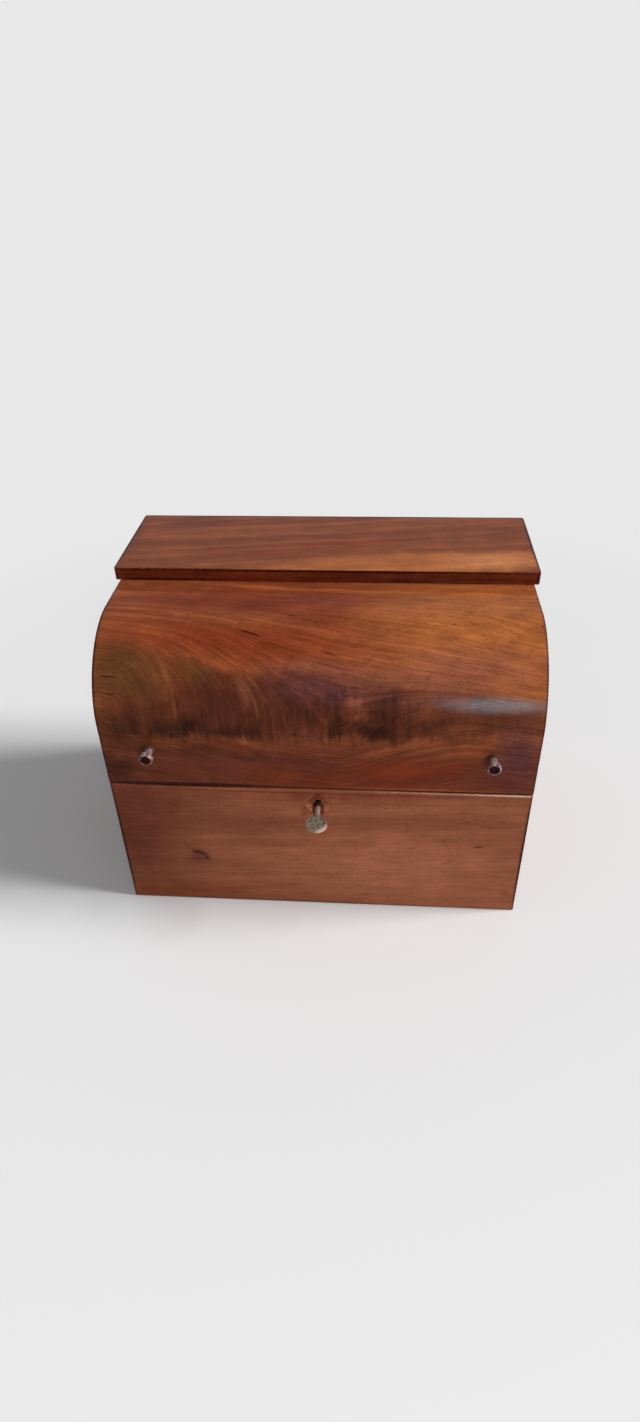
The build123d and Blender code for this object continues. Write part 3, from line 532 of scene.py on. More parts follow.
# %% Spots on the curved front
# along, across, length, width (mm), tilt, softness, rag, feather, colour, share
FLAME_SPOTS = [
    # the upper right is tan, with an amber heart
    (120, 130, 230, 170, 0.0, 0.8, 0.2, 0.0, TAN, 0.95),
    (105, 182, 150, 40, 0.0, 1.0, 0.3, 0.0, AMBER, 0.5),
    (92, 137, 60, 20, -0.05, 1.0, 0.4, 0.0, TAN, 0.6),
    (105, 100, 150, 44, -0.04, 0.9, 0.3, 0.0, CLAY, 0.7),
    # the upper left is red
    (-70, 159, 250, 36, 0.0, 0.7, 0.35, 0.0, RUST, 0.9),
    (-52, 156, 150, 26, -0.05, 0.9, 0.5, 0.0, BRICK, 0.6),
    (-60, 188, 240, 22, 0.0, 1.0, 0.4, 0.0, CHESTNUT, 0.5),
    # brown wood between
    (-55, 116, 240, 46, -0.04, 0.9, 0.3, 0.0, CHESTNUT, 0.8),
    (4, 150, 74, 60, 0.0, 1.0, 0.3, 0.0, CHESTNUT, 0.5),
    (60, 92, 140, 18, -0.05, 0.9, 0.3, 0.2, CLAY, 0.6),
    (0, 97, 90, 22, -0.05, 1.0, 0.3, 0.2, CLAY, 0.6),
    # the lower part, dark at the left, where the darkening is partly painted shade
    (10, 8, 500, 76, 0.0, 0.6, 0.15, 0.2, UMBER, 1.0),
    (62, 18, 130, 30, 0.06, 1.0, 0.4, 0.0, CHESTNUT, 0.8),
    (50, 3, 200, 8, 0.0, 1.0, 0.4, 0.0, CHESTNUT, 0.6),
    (-22, 10, 90, 22, 0.0, 1.0, 0.4, 0.0, CHESTNUT, 0.5),
    (-158, 16, 100, 90, 0.0, 0.9, 0.2, 0.0, PITCH, 0.7),
    # the smoky band, with its fringe
    (-136, 54, 90, 50, 0.0, 0.9, 0.3, 0.2, PITCH, 0.75),
    (-32, 66, 246, 60, 0.0, 0.6, 0.35, 0.2, SMOKE, 0.95),
    (96, 61, 200, 44, 0.02, 0.7, 0.35, 0.2, SMOKE, 0.8),
    (-132, 92, 74, 50, -0.25, 0.6, 0.2, 0.1, OLIVE, 0.9),
    (-84, 94, 50, 24, -0.4, 0.8, 0.4, 0.1, OLIVE, 0.8),
    (4, 84, 120, 28, -0.06, 0.9, 0.4, 0.2, PLUM, 0.75),
    (84, 80, 110, 22, -0.04, 0.9, 0.4, 0.2, PLUM, 0.6),
    (-70, 76, 60, 40, 0.0, 0.9, 0.4, 0.2, SMOKE, 0.6),
    (-89, 54, 16, 34, 0.0, 0.9, 0.5, 0.4, PITCH, 0.7),
    (-100, 50, 60, 26, 0.0, 1.0, 0.5, 0.4, PITCH, 0.7),
    (-58, 49, 50, 16, 0.0, 0.9, 0.5, 0.5, SOOT, 0.8),
    (40, 52, 50, 28, 0.0, 0.95, 0.5, 0.4, SOOT, 0.9),
    (12, 54, 18, 26, 0.0, 0.9, 0.6, 0.6, SOOT, 0.6),
    (60, 58, 22, 24, 0.0, 0.9, 0.6, 0.6, SMOKE, 0.6),
    (-35, 84, 30, 22, 0.2, 0.8, 0.5, 0.2, SMOKE, 0.6),
    (-66, 91, 24, 14, -0.3, 0.9, 0.5, 0.2, SMOKE, 0.5),
    (-14, 72, 16, 20, 0.1, 0.9, 0.6, 0.3, SMOKE, 0.6),
    (28, 74, 20, 14, 0.2, 0.9, 0.6, 0.2, CLAY, 0.5),
    (-49, 80, 9, 26, 0.3, 1.0, 0.5, 0.0, CLAY, 0.6),
    (-10, 56, 36, 24, 0.0, 1.0, 0.5, 0.4, UMBER, 0.6),
    # the right end is grey where the bend turns down; the pale streak across it is a painted reflection
    (140, 36, 50, 80, 0.0, 1.0, 0.3, 0.1, PLUM, 0.9),
    (118, 75, 80, 14, 0.0, 0.9, 0.3, 0.0, PAINTED_REFLECTION, 0.8),
    (-90, 32, 150, 24, 0.0, 1.0, 0.3, 0.0, PITCH, 0.5),
    # both ends are dark; along the lower rim, painted seam shade at the left and a pale line that is partly
    # wear and partly painted highlight
    (-155, 95, 4, 260, 0.0, 0.8, 0.2, 0.0, RIM, 0.85),
    (155.4, 95, 4, 260, 0.0, 0.7, 0.2, 0.0, RIM, 0.85),
    (-90, 0.4, 150, 3.6, 0.0, 0.6, 0.3, 0.0, PITCH, 0.9),
    (70, 1.2, 190, 2.6, 0.0, 0.9, 0.6, 0.0, RUBBED_AND_LIT, 0.6),
    # flecks and a round knot
    (-47, 123, 19, 2.0, -0.33, 0.6, 0.4, 0.0, FLECK, 0.85),
    (-94, 131, 20, 1.6, -0.2, 0.8, 0.5, 0.0, FLECK, 0.45),
    (9, 108, 15, 1.6, -0.3, 0.6, 0.4, 0.0, FLECK, 0.7),
    (-19, 140, 10, 1.6, -0.2, 0.8, 0.4, 0.0, FLECK, 0.5),
    (104, 147, 9, 1.6, -0.2, 0.7, 0.4, 0.0, FLECK, 0.6),
    (-143, 89, 15, 2.0, 0.0, 0.6, 0.4, 0.0, SOOT, 0.7),
    (-142, 77, 13, 1.8, 0.0, 0.6, 0.4, 0.0, SOOT, 0.55),
    (-15, 49, 3.6, 3.8, 0.0, 0.8, 0.2, 0.0, FLECK, 0.85),
]
# along, across, length, width (mm), tilt, strength
FLAME_GLINTS = [
    (-72, 104, 80, 44, -0.5, 0.7),
    (-125, 92, 60, 60, 0.0, 0.35),
    (70, 108, 190, 40, -0.16, 0.2),
]
# along, across, length, width (mm), strength
FLAME_FEATHERS = [
    (-25, 62, 250, 60, 0.7),
    (20, 68, 130, 50, 0.8),
    (90, 60, 170, 48, 0.6),
]
print(len(FLAME_SPOTS), "spots on the curved front")

# %% Spots on the base front and the top board
BASE_SPOTS = [
    # painted shade darkens the left and the top, and painted light brightens the lower right, over the wood's
    # own tones
    (-150, 72, 140, 190, 0.0, 1.0, 0.2, 0.0, COCOA_AND_SHADE, 0.9),
    (62, 48, 250, 88, 0.0, 1.0, 0.3, 0.0, BISCUIT_AND_LIGHT, 0.9),
    (0, 122, 380, 26, 0.0, 1.0, 0.3, 0.0, BRICK, 0.4),
    (-120, 106, 130, 52, 0.0, 1.0, 0.3, 0.0, COCOA_AND_SHADE, 0.6),
    (-110, 10, 160, 36, 0.05, 1.0, 0.4, 0.0, BRICK, 0.4),
    (-60, 90, 120, 50, -0.1, 1.0, 0.4, 0.1, UMBER, 0.4),
    (70, 10, 240, 44, 0.03, 1.0, 0.4, 0.1, BISCUIT_AND_LIGHT, 0.5),
    (-15, 116, 16, 16, 0.0, 0.9, 0.4, 0.0, BRICK, 0.3),
    (21, 117, 14, 16, 0.0, 0.9, 0.4, 0.0, BRICK, 0.3),
    (-10.5, 99, 8, 6, 0.2, 0.9, 0.4, 0.0, BRICK, 0.5),
    # the knot, and short ticks in the fibre
    (-95, 50, 26, 22, 0.0, 0.9, 0.5, 0.0, SOOT, 0.4),
    (-95.5, 54, 14, 6.5, -0.3, 0.8, 0.4, 0.0, SOOT, 0.8),
    (-90, 49, 6, 12, 0.3, 0.8, 0.4, 0.0, SOOT, 0.65),
    (-97, 47, 10, 5, -0.2, 1.0, 0.4, 0.0, SOOT, 0.4),
    (-103, 60, 9, 4, -0.5, 0.9, 0.4, 0.0, SOOT, 0.35),
    (121, 70, 10, 2.4, 0.1, 0.7, 0.5, 0.0, FLECK, 0.7),
    (66, 88, 3, 15, 0.05, 0.9, 0.5, 0.0, UMBER, 0.4),
    (110, 96, 9, 2.2, -0.2, 0.8, 0.6, 0.0, UMBER, 0.5),
    (124, 92, 12, 2.6, -0.15, 0.8, 0.6, 0.0, UMBER, 0.5),
    (94, 75, 8, 6, 0.3, 0.9, 0.6, 0.0, UMBER, 0.4),
    (100, 53, 10, 4, 0.4, 0.9, 0.6, 0.0, UMBER, 0.4),
    (70, 66, 14, 3, 0.3, 0.9, 0.6, 0.0, UMBER, 0.3),
    (36, 12, 26, 3, 0.1, 0.9, 0.6, 0.0, UMBER, 0.5),
    (146, 20, 12, 12, 0.0, 1.0, 0.6, 0.0, CHESTNUT, 0.5),
    # rims: a dark line, a pale one above it that is partly wear and partly painted highlight, painted seam
    # shade at the left, a painted highlight at the right of the top edge, dark ends, and a painted contact
    # shadow along the foot
    (0, 119.6, 400, 2.2, 0.0, 0.9, 0.3, 0.0, COCOA_AND_SHADE, 0.6),
    (0, 122.2, 400, 2.0, 0.0, 0.9, 0.3, 0.0, RUBBED_AND_LIT, 0.4),
    (-90, 124.2, 150, 3.0, 0.0, 0.6, 0.3, 0.0, PITCH, 0.9),
    (104, 122.9, 170, 1.5, 0.0, 1.0, 0.5, 0.0, PAINTED_HIGHLIGHT, 0.5),
    (142, 122.8, 80, 2.2, 0.0, 1.0, 0.3, 0.0, PAINTED_HIGHLIGHT, 0.8),
    (-154.6, 62, 5, 200, 0.0, 0.8, 0.2, 0.0, RIM, 0.9),
    (154.8, 62, 5, 200, 0.0, 0.8, 0.2, 0.0, RIM, 0.95),
    (0, 0, 420, 4, 0.0, 0.9, 0.2, 0.0, RIM, 0.8),
]
TOP_SPOTS = [
    (60, 12, 260, 44, 0.12, 0.5, 0.3, 0.0, TAN, 0.9),
    (125, 18, 100, 36, 0.1, 1.0, 0.4, 0.0, SAND, 0.8),
    (20, 46, 130, 18, 0.14, 0.9, 0.4, 0.0, CHESTNUT, 0.6),
    (-50, 32, 120, 14, 0.1, 0.9, 0.4, 0.0, CHESTNUT, 0.6),
    (-110, 88, 80, 22, 0.1, 0.9, 0.4, 0.0, UMBER, 0.7),
    (-158, 50, 24, 120, 0.0, 1.0, 0.2, 0.0, UMBER, 0.5),
    # a dark outline, ragged where the front arris is chipped
    (0, 100.4, 420, 5.0, 0.0, 0.8, 0.4, 0.0, RIM, 0.8),
    (-158.4, 50, 4.6, 160, 0.0, 0.8, 0.4, 0.0, RIM, 0.9),
    (158.4, 50, 4.6, 160, 0.0, 0.8, 0.4, 0.0, RIM, 0.9),
    (-118, 0.6, 92, 3.2, 0.0, 0.8, 0.9, 0.0, RIM, 0.8),
    (60, 0.4, 200, 1.8, 0.0, 0.8, 0.9, 0.0, UMBER, 0.5),
    # short marks and one pale scratch
    (142, 78, 3, 9, 0.2, 0.8, 0.4, 0.0, UMBER, 0.6),
    (148, 75, 3, 7, 0.2, 0.8, 0.4, 0.0, UMBER, 0.6),
    (147, 65, 2.6, 6, 0.2, 0.8, 0.4, 0.0, UMBER, 0.5),
    (-95, 9, 32, 1.6, 0.0, 0.9, 0.3, 0.0, SAND, 0.5),
]
EDGE_SPOTS = [
    (-65, 6, 180, 16, 0.0, 1.0, 0.4, 0.0, CHESTNUT, 0.6),
    (80, 7, 180, 12, 0.0, 1.0, 0.4, 0.0, UMBER, 0.6),
    (0, 0.5, 420, 4.2, 0.0, 0.7, 1.0, 0.0, RIM, 0.9),
    (-118, 9.6, 92, 3.4, 0.0, 0.7, 1.0, 0.0, RIM, 0.85),
    (-20, 5.6, 50, 4.0, 0.0, 1.0, 1.0, 0.0, UMBER, 0.6),
    (60, 5.0, 90, 4.0, 0.0, 1.0, 1.0, 0.0, UMBER, 0.6),
    (-158, 5, 5, 14, 0.0, 0.8, 0.5, 0.0, RIM, 0.9),
    (158, 5, 5, 14, 0.0, 0.8, 0.5, 0.0, RIM, 0.9),
]
print(len(BASE_SPOTS), "spots on the base,", len(TOP_SPOTS), "on the top,", len(EDGE_SPOTS), "on its edge")

# %% Mahogany of the show boards
flame = wood_material(
    "flame mahogany", srgb(126, 62, 34), srgb(156, 84, 50), srgb(54, 20, 10), mottle=0.14, rub=0.25,
    arris=DARK_ARRIS, band_width=0.010, band_depth=0.05, fibre_depth=0.22, streak=0.12, spots=FLAME_SPOTS,
    glints=FLAME_GLINTS, feathers=FLAME_FEATHERS, flow=True,
)
plain_front = wood_material(
    "plain mahogany", srgb(132, 74, 50), srgb(150, 88, 62), srgb(70, 34, 26), mottle=0.08, rub=0.25,
    arris=DARK_ARRIS, tilt=0.05, band_width=0.016, band_depth=0.025, fibre_depth=0.12, streak=0.08,
    spots=BASE_SPOTS,
)
ribbon_top = wood_material(
    "ribbon mahogany", srgb(118, 58, 34), srgb(138, 74, 44), srgb(84, 42, 26), mottle=0.12, rub=0.5,
    arris=DARK_ARRIS, tilt=0.13, band_width=0.011, band_depth=0.055, wander=0.005, fibre_depth=0.13,
    streak=0.14, spots=TOP_SPOTS,
)
dark_edge = wood_material(
    "dark worn edge", srgb(92, 34, 16), srgb(122, 50, 24), srgb(44, 16, 8), arris=DARK_ARRIS,
    band_width=0.003, rub=0.5, spots=EDGE_SPOTS,
)
print("show boards:", [m.name for m in (flame, plain_front, ribbon_top, dark_edge)])

# %% Mahogany of the case, and the woods inside
case = wood_material(
    "case mahogany", srgb(104, 53, 36), srgb(132, 74, 51), srgb(62, 30, 21), band_width=0.014,
)
inside = wood_material(
    "oiled mahogany", srgb(132, 78, 54), srgb(164, 104, 74), srgb(90, 50, 36), band_width=0.013,
    gloss=0.62, rub=0.5,
)
rack = wood_material(
    "rack wood", srgb(142, 86, 56), srgb(170, 112, 76), srgb(98, 56, 38), band_width=0.007,
    gloss=0.6, rub=0.7,
)
pine = wood_material(
    "bottom pine", srgb(166, 122, 78), srgb(200, 158, 108), srgb(124, 84, 50), band_width=0.005,
    gloss=0.68, rub=0.4,
)
print("plainer woods:", [m.name for m in (case, inside, rack, pine)])

# %% [markdown]
# ## From joinery to timber
# A board from the frame is exact and lifeless.  Its mesh is copied, cut into strips, and
# every corner of every strip is moved in by a few hundredths of a millimetre, more along an
# arris, so that light breaks on it as on planed and handled wood.  It could be sculpted by
# hand; doing it by a rule keeps every mortise, screw hole and joint.

# %% Cutting and wearing a board
SKIN = 1.2 * MM
LEAST_SIZE_TO_CUT = 14 * MM
BEND_CUTS = 40
ARRIS_REACH = 2.6 * MM
SHARP_EDGE = math.radians(52)


def strip_places(low, high, step, rim=0.9 * MM):
    """Where to cut a board: evenly, and once just inside each end."""
    count = max(2, round((high - low) / step))
    return [low + rim, *[low + (high - low) * i / count for i in range(1, count)], high - rim]


def cut_plane(work, point, normal):
    everything = work.verts[:] + work.edges[:] + work.faces[:]
    bmesh.ops.bisect_plane(work, geom=everything, plane_co=point, plane_no=normal, dist=1e-7)


def cut_across(work, axis, places):
    for place in places:
        cut_plane(work, axis * place, axis)


def long_arrises(work, shortest=6 * MM):
    """Points along the outside corners that a hand or a duster would touch."""
    points = []
    for edge in work.edges:
        if len(edge.link_faces) == 2 and edge.calc_face_angle_signed(0) > 0.3:
            length = edge.calc_length()
            if length > shortest:
                first, last = (v.co for v in edge.verts)
                count = max(1, int(length / (3 * MM)))
                points += [first.lerp(last, i / count) for i in range(count + 1)]
    return points


def near_any(points):
    """A search tree that answers how far a place is from the nearest of these points."""
    near = KDTree(max(1, len(points)))
    for i, point in enumerate(points or [Vector((9, 9, 9))]):
        near.insert(point, i)
    near.balance()
    return near


def is_outside(middle):
    """True for a face on the box's own outside, false for one that shows only when it is open."""
    if abs(middle.x) > side_x - SKIN or middle.y > back_y - SKIN or middle.y < front_y + SKIN:
        return True
    if middle.y < bend_y and middle.z > bend_z:
        return math.hypot(middle.y - bend_y, middle.z - bend_z) > BEND_RADIUS - SKIN
    return middle.z > lid_top_z - SKIN


def round_bend(work):
    """Cut the bend into fine steps, and put each new corner back on the true arc."""
    centre = Vector((0, bend_y, bend_z))
    for i in range(1, BEND_CUTS):
        angle = math.pi / 2 * i / BEND_CUTS
        cut_plane(work, centre, Vector((0, math.sin(angle), math.cos(angle))))
    inner_radius = BEND_RADIUS - BOARD_THICKNESS
    arcs = (BEND_RADIUS, BEND_RADIUS - BOARD_ROUNDING, inner_radius + BOARD_ROUNDING, inner_radius)
    for corner in work.verts:
        off = corner.co - centre
        off.x = 0
        if corner.co.y < bend_y and corner.co.z > bend_z:
            for radius in arcs:
                if -0.02 * MM < radius - off.length < 0.12 * MM:
                    off *= radius / off.length
                    corner.co = Vector((corner.co.x, centre.y + off.y, centre.z + off.z))
                    break


def timber(
    node, body, finish, inner, grain_of, step=3.0 * MM, shift=(0, 0, 0), wave=0.09 * MM, chip=0.22 * MM,
    bend=False, front_edge=None,
):
    """Make a worn, grained board from a node of the frame, and let it ride on the same body."""
    low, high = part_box(node)
    work = bmesh.new()
    work.from_mesh(nodes[node].data)
    bmesh.ops.remove_doubles(work, verts=work.verts, dist=1e-6)
    bmesh.ops.dissolve_limit(work, angle_limit=math.radians(0.4), verts=work.verts, edges=work.edges)
    arrises = near_any(long_arrises(work))
    size = high - low
    for axis in (Vector((1, 0, 0)), Vector((0, 1, 0)), Vector((0, 0, 1))):
        if axis.dot(size) > LEAST_SIZE_TO_CUT:
            cut_across(work, axis, strip_places(axis.dot(low), axis.dot(high), step))
    if bend:
        round_bend(work)
    work.normal_update()
    grain_layer = work.verts.layers.float_vector.new("grain_place")
    worn_layer = work.verts.layers.float.new("worn")
    moves = []
    for corner in work.verts:
        place = corner.co
        worn = max(0.0, 1.0 - arrises.find(place)[2] / ARRIS_REACH)
        corner[grain_layer] = grain_of(place) + Vector(shift)
        corner[worn_layer] = worn
        gentle = (noise.noise(place * 21 + Vector(shift) * 9) * 0.5 + 0.5) * wave
        chipped = worn * worn * (noise.noise(place * 160) * 0.5 + 0.5) * chip
        moves.append((corner, -corner.normal * (gentle + chipped)))
    for corner, move in moves:
        corner.co += move
    for face in work.faces:
        face.material_index = 0 if is_outside(face.calc_center_median()) else 1
        if front_edge and face.normal.y < -0.8:
            face.material_index = 2
        face.smooth = True
    mesh = bpy.data.meshes.new(f"{node}_timber")
    work.to_mesh(mesh)
    work.free()
    mesh.materials.append(finish)
    mesh.materials.append(inner)
    if front_edge:
        mesh.materials.append(front_edge)
    mesh.set_sharp_from_angle(angle=SHARP_EDGE)
    board = bpy.data.objects.new(f"{node}_timber", mesh)
    scene.collection.objects.link(board)
    weighted = board.modifiers.new("flat faces stay flat", "WEIGHTED_NORMAL")
    weighted.keep_sharp = True
    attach(board, body)
    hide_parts(node)
    print(f"{board.name}: {len(mesh.polygons)} faces")
    return board


slots = {n: nodes[n].data.materials[0].name for n in nodes}
print("record slots:", sorted(set(slots.values())))

# %% [markdown]
# ## Which way the grain runs
# Each board keeps its own place numbers: first along the fibre, then across the board, then
# into it from the show face.  On the curved front the second number is measured round the
# bend, as a strip of paper laid on the board would measure it.

# %% Grain directions


def front_grain(place):
    return Vector((place.x, place.z, place.y - front_y))


def curved_grain(place):
    up = place.z - bend_z
    in_front = bend_y - place.y
    if up <= 0:
        return Vector((place.x, place.z - lid_rim_z, place.y - front_y))
    if in_front <= 0:
        return Vector((place.x, straight_rise + bend_length - in_front, lid_top_z - place.z))
    around = math.atan2(up, in_front)
    return Vector((place.x, straight_rise + around * BEND_RADIUS, BEND_RADIUS - math.hypot(up, in_front)))


def top_grain(place):
    """The front edge counts its second number downwards, so that its spots lie on it."""
    if place.y < top_low.y + 0.2 * MM:
        return Vector((place.x, top_high.z - place.z, 0.0))
    return Vector((place.x, place.y, top_high.z - place.z))


def back_grain(place):
    return Vector((place.x, place.z, back_y - place.y))


def end_grain(place):
    return Vector((place.y, place.z, side_x - abs(place.x)))


def flat_grain(place):
    return Vector((place.x, place.y, place.z))


diagonal = BEND_RADIUS * math.sqrt(0.5)
half_way = curved_grain(Vector((0, bend_y - diagonal, bend_z + diagonal)))
print("a point half way round the bend lies", round(half_way.y, 4), "m up the board")

# %% [markdown]
# ## The boards
# Two boards of one tree never match, so each gets its own shift into the endless pattern.
# Boards that are seen close get narrow strips, and those inside get wide ones.

# %% Lid and base boards
timber("curved_front", "lid", flame, inside, curved_grain, step=2.6 * MM, bend=True)
timber("base_front", "base", plain_front, inside, front_grain, step=2.6 * MM)
timber("top_board", "lid", ribbon_top, ribbon_top, top_grain, step=2.6 * MM, front_edge=dark_edge)
for body, up in (("lid", 0.2), ("base", 0.25)):
    for side, away in (("left", 0.3), ("right", 0.7)):
        timber(f"{body}_{side}_end", body, case, inside, end_grain, step=4 * MM, shift=(away, up, 0))
timber("lid_back", "lid", case, inside, back_grain, step=4 * MM, shift=(1.1, 0.1, 0))
timber("base_back", "base", case, inside, back_grain, step=4 * MM, shift=(1.1, 0.4, 0))
timber("top_batten", "lid", inside, inside, flat_grain, step=6 * MM, shift=(2.1, 0.0, 0))
timber("bottom_board", "base", pine, pine, flat_grain, step=5 * MM, shift=(2.6, 0.3, 0))
timber("front_rack", "base", rack, rack, front_grain, step=5 * MM, shift=(3.1, 0.0, 0))
timber("rear_rack", "base", rack, rack, front_grain, step=5 * MM, shift=(3.7, 0.2, 0))

# %% [markdown]
# ## Metal
# Four metals: worn nickel on the knobs, a grey-green worn steel key, browned brass on the
# hinges and lock, and dark steel for pins.  Old metal is never one colour: thin tarnish lies
# in the hollows and the rubbed places shine.  Noise gives the tarnish and fine brushing, and
# a Metallic value below one lets grime look like grime.  The knobs and the key are so dull
# that they are hardly metallic at all, and zones in their own colours show where they are
# rubbed or greasy.  Other zones are painted light and shade: painted shade on the knobs'
# left and lower sides and in their dishes, painted shade on the shank by the keyhole, and a
# painted highlight on the bow's rim.

# %% Node group: tarnish
tarnish_tree, tarnish_in, tarnish_out = new_group(
    "tarnish",
    numbers={"Scale": 400.0, "Low": 0.42, "High": 0.64},
    vectors=["Place"],
    outputs=["Mask", "Brushing"],
)
tree = tarnish_tree
soft = cloud(tree, tarnish_in["Place"], tarnish_in["Scale"], 4.0, 0.6)
mask = remap(tree, soft, tarnish_in["Low"], tarnish_in["High"])
drawn = calc_vector(tree, "MULTIPLY", tarnish_in["Place"], (900.0, 9000.0, 900.0))
give(tree, tarnish_out, Mask=mask, Brushing=cloud(tree, drawn, 1.0, 2.0, 0.6))
print("tarnish group ready")

# %% The metal recipe


def metal_material(
    name, clean, tarnished, gloss=0.3, scale=400.0, low=0.42, high=0.64, clean_metal=1.0,
    grime_metal=0.6, zones=(), shine=0.5,
):
    """Old metal; each zone is (a function that draws its mask, colour, share, how dull it is)."""
    material, tree, shader = new_material(name, shine)
    place = put(tree, "ShaderNodeTexCoord").outputs["Object"]
    age = use_group(tree, tarnish_tree, Place=place, Scale=scale, Low=low, High=high)
    colour = blend_colour(tree, age["Mask"], clean, tarnished)
    metal = blend_number(tree, age["Mask"], clean_metal, grime_metal)
    rough = scaled(tree, age["Mask"], 0.25, gloss)
    for draw, tint, share, dull in zones:
        shown = times(tree, draw(tree, place), share)
        colour = blend_colour(tree, shown, colour, tint)
        metal = times(tree, metal, scaled(tree, shown, -dull, 1.0))
        rough = scaled(tree, shown, 0.4 * dull, rough)
    tree.links.new(colour, shader.inputs["Base Color"])
    tree.links.new(metal, shader.inputs["Metallic"])
    rough = scaled(tree, age["Brushing"], 0.12, rough)
    tree.links.new(rough, shader.inputs["Roughness"])
    bump = put(tree, "ShaderNodeBump", {"Strength": 0.3, "Distance": 0.00003, "Height": age["Brushing"]})
    tree.links.new(bump.outputs[0], shader.inputs["Normal"])
    return material


brass = metal_material(
    "browned brass", srgb(182, 140, 80), srgb(128, 92, 50), gloss=0.36, scale=260.0, low=0.4, high=0.7,
    grime_metal=0.8,
)
steel = metal_material("dark steel", srgb(128, 124, 120), srgb(58, 48, 42), gloss=0.42, scale=500.0)
print("plain metals:", [m.name for m in (brass, steel)])

# %% Zones of the knobs and of the key
DISH_EDGE, DISH_INSIDE = 3.9, 3.4
DISH_START, DISH_DEEP = 10.0, 10.6
ROSE_START, ROSE_DEEP = 2.4, 1.2
BOW_HALF_WIDTH = 7.6 * MM
BOW_HALF_LENGTH = 7.9 * MM
BOW_REACH = 8.4 * MM
SHANK_REACH = 9.0 * MM
ROOT_START = 5.2 * MM
ROOT_DEEP = 2.2 * MM

knob_boxes = [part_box("knob_left"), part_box("knob_right")]
left_axis, right_axis = ((low.x + high.x) / 2 for low, high in knob_boxes)
knob_axis_z = (knob_boxes[0][0].z + knob_boxes[0][1].z) / 2
bow_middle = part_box("key")[0].y + BOW_HALF_LENGTH


def knob_reach(tree, place):
    """How far a place on a knob is from its axis, and how far it stands out, in millimetres."""
    x, y, z = split(tree, place)
    axis_x = scaled(tree, calc(tree, "GREATER_THAN", x, 0.0), right_axis - left_axis, left_axis)
    radial = combine(tree, minus(tree, x, axis_x), 0.0, minus(tree, z, knob_axis_z))
    out = times(tree, minus(tree, front_y, y), 1000.0)
    return times(tree, calc_vector(tree, "LENGTH", radial), 1000.0), out


# The dark dish of each knob is painted shade, standing in for the shade and dark reflection in its hollow.
def knob_dish(tree, place):
    radius, out = knob_reach(tree, place)
    return times(tree, remap(tree, radius, DISH_EDGE, DISH_INSIDE), remap(tree, out, DISH_START, DISH_DEEP))


def knob_shade(tree, place):
    """Painted shade on the left and lower sides, which face away from the daylight."""
    facing = put(tree, "ShaderNodeTexCoord").outputs["Normal"]
    return remap(tree, calc_vector(tree, "DOT_PRODUCT", facing, (-0.75, -0.35, -0.55)), -0.1, 0.6)


def knob_rose(tree, place):
    return remap(tree, knob_reach(tree, place)[1], ROSE_START, ROSE_DEEP)


def bow_rim(tree, place):
    """The raised rim of the bow, seen as a band between two ovals."""
    x, y, _ = split(tree, place)
    sideways = calc(tree, "DIVIDE", x, BOW_HALF_WIDTH)
    lengthways = calc(tree, "DIVIDE", minus(tree, y, bow_middle), BOW_HALF_LENGTH)
    oval = combine(tree, sideways, lengthways, 0.0)
    in_bow = remap(tree, y, bow_middle + BOW_REACH, bow_middle + BOW_HALF_WIDTH)
    return times(tree, remap(tree, calc_vector(tree, "LENGTH", oval), 0.76, 0.86), in_bow)


def bow_painted_glint(tree, place):
    """A painted highlight on the rim's front right corner."""
    x, y, _ = split(tree, place)
    ahead = calc(tree, "DIVIDE", minus(tree, bow_middle, y), BOW_HALF_LENGTH)
    corner = calc(tree, "ADD", calc(tree, "DIVIDE", x, BOW_HALF_WIDTH), ahead)
    return times(tree, bow_rim(tree, place), remap(tree, corner, 0.85, 1.25))


def key_root_grease_and_shade(tree, place):
    """The shank by the keyhole, dark with old grease and with painted shade where it enters the hole."""
    return remap(tree, split(tree, place)[1], front_y - ROOT_START, front_y - ROOT_DEEP)


def key_shank(tree, place):
    return remap(tree, split(tree, place)[1], bow_middle + BOW_HALF_WIDTH, bow_middle + SHANK_REACH)


print(f"knobs at {left_axis:.4f} and {right_axis:.4f} m, middle of the bow at {bow_middle:.4f} m")

# %% Metal of the knobs and the key, and the inlay
nickel = metal_material(
    "worn nickel", srgb(174, 147, 143), srgb(72, 46, 38), gloss=0.36, scale=420.0, low=0.38, high=0.64,
    clean_metal=0.35, grime_metal=0.15, shine=0.15,
    zones=[
        (knob_shade, srgb(74, 50, 42), 0.75, 0.6),
        (knob_rose, srgb(70, 40, 26), 0.85, 0.8),
        (knob_dish, srgb(40, 14, 9), 1.0, 1.0),
    ],
)
key_steel = metal_material(
    "worn key steel", srgb(140, 132, 112), srgb(84, 76, 62), gloss=0.4, scale=430.0, low=0.42, high=0.6,
    clean_metal=0.35, grime_metal=0.2, shine=0.2,
    zones=[
        (bow_rim, srgb(134, 104, 90), 0.75, 0.0),
        (bow_painted_glint, srgb(214, 178, 168), 0.6, 0.0),
        (key_shank, srgb(172, 134, 124), 0.8, 0.0),
        (key_root_grease_and_shade, srgb(24, 12, 8), 0.95, 1.0),
    ],
)
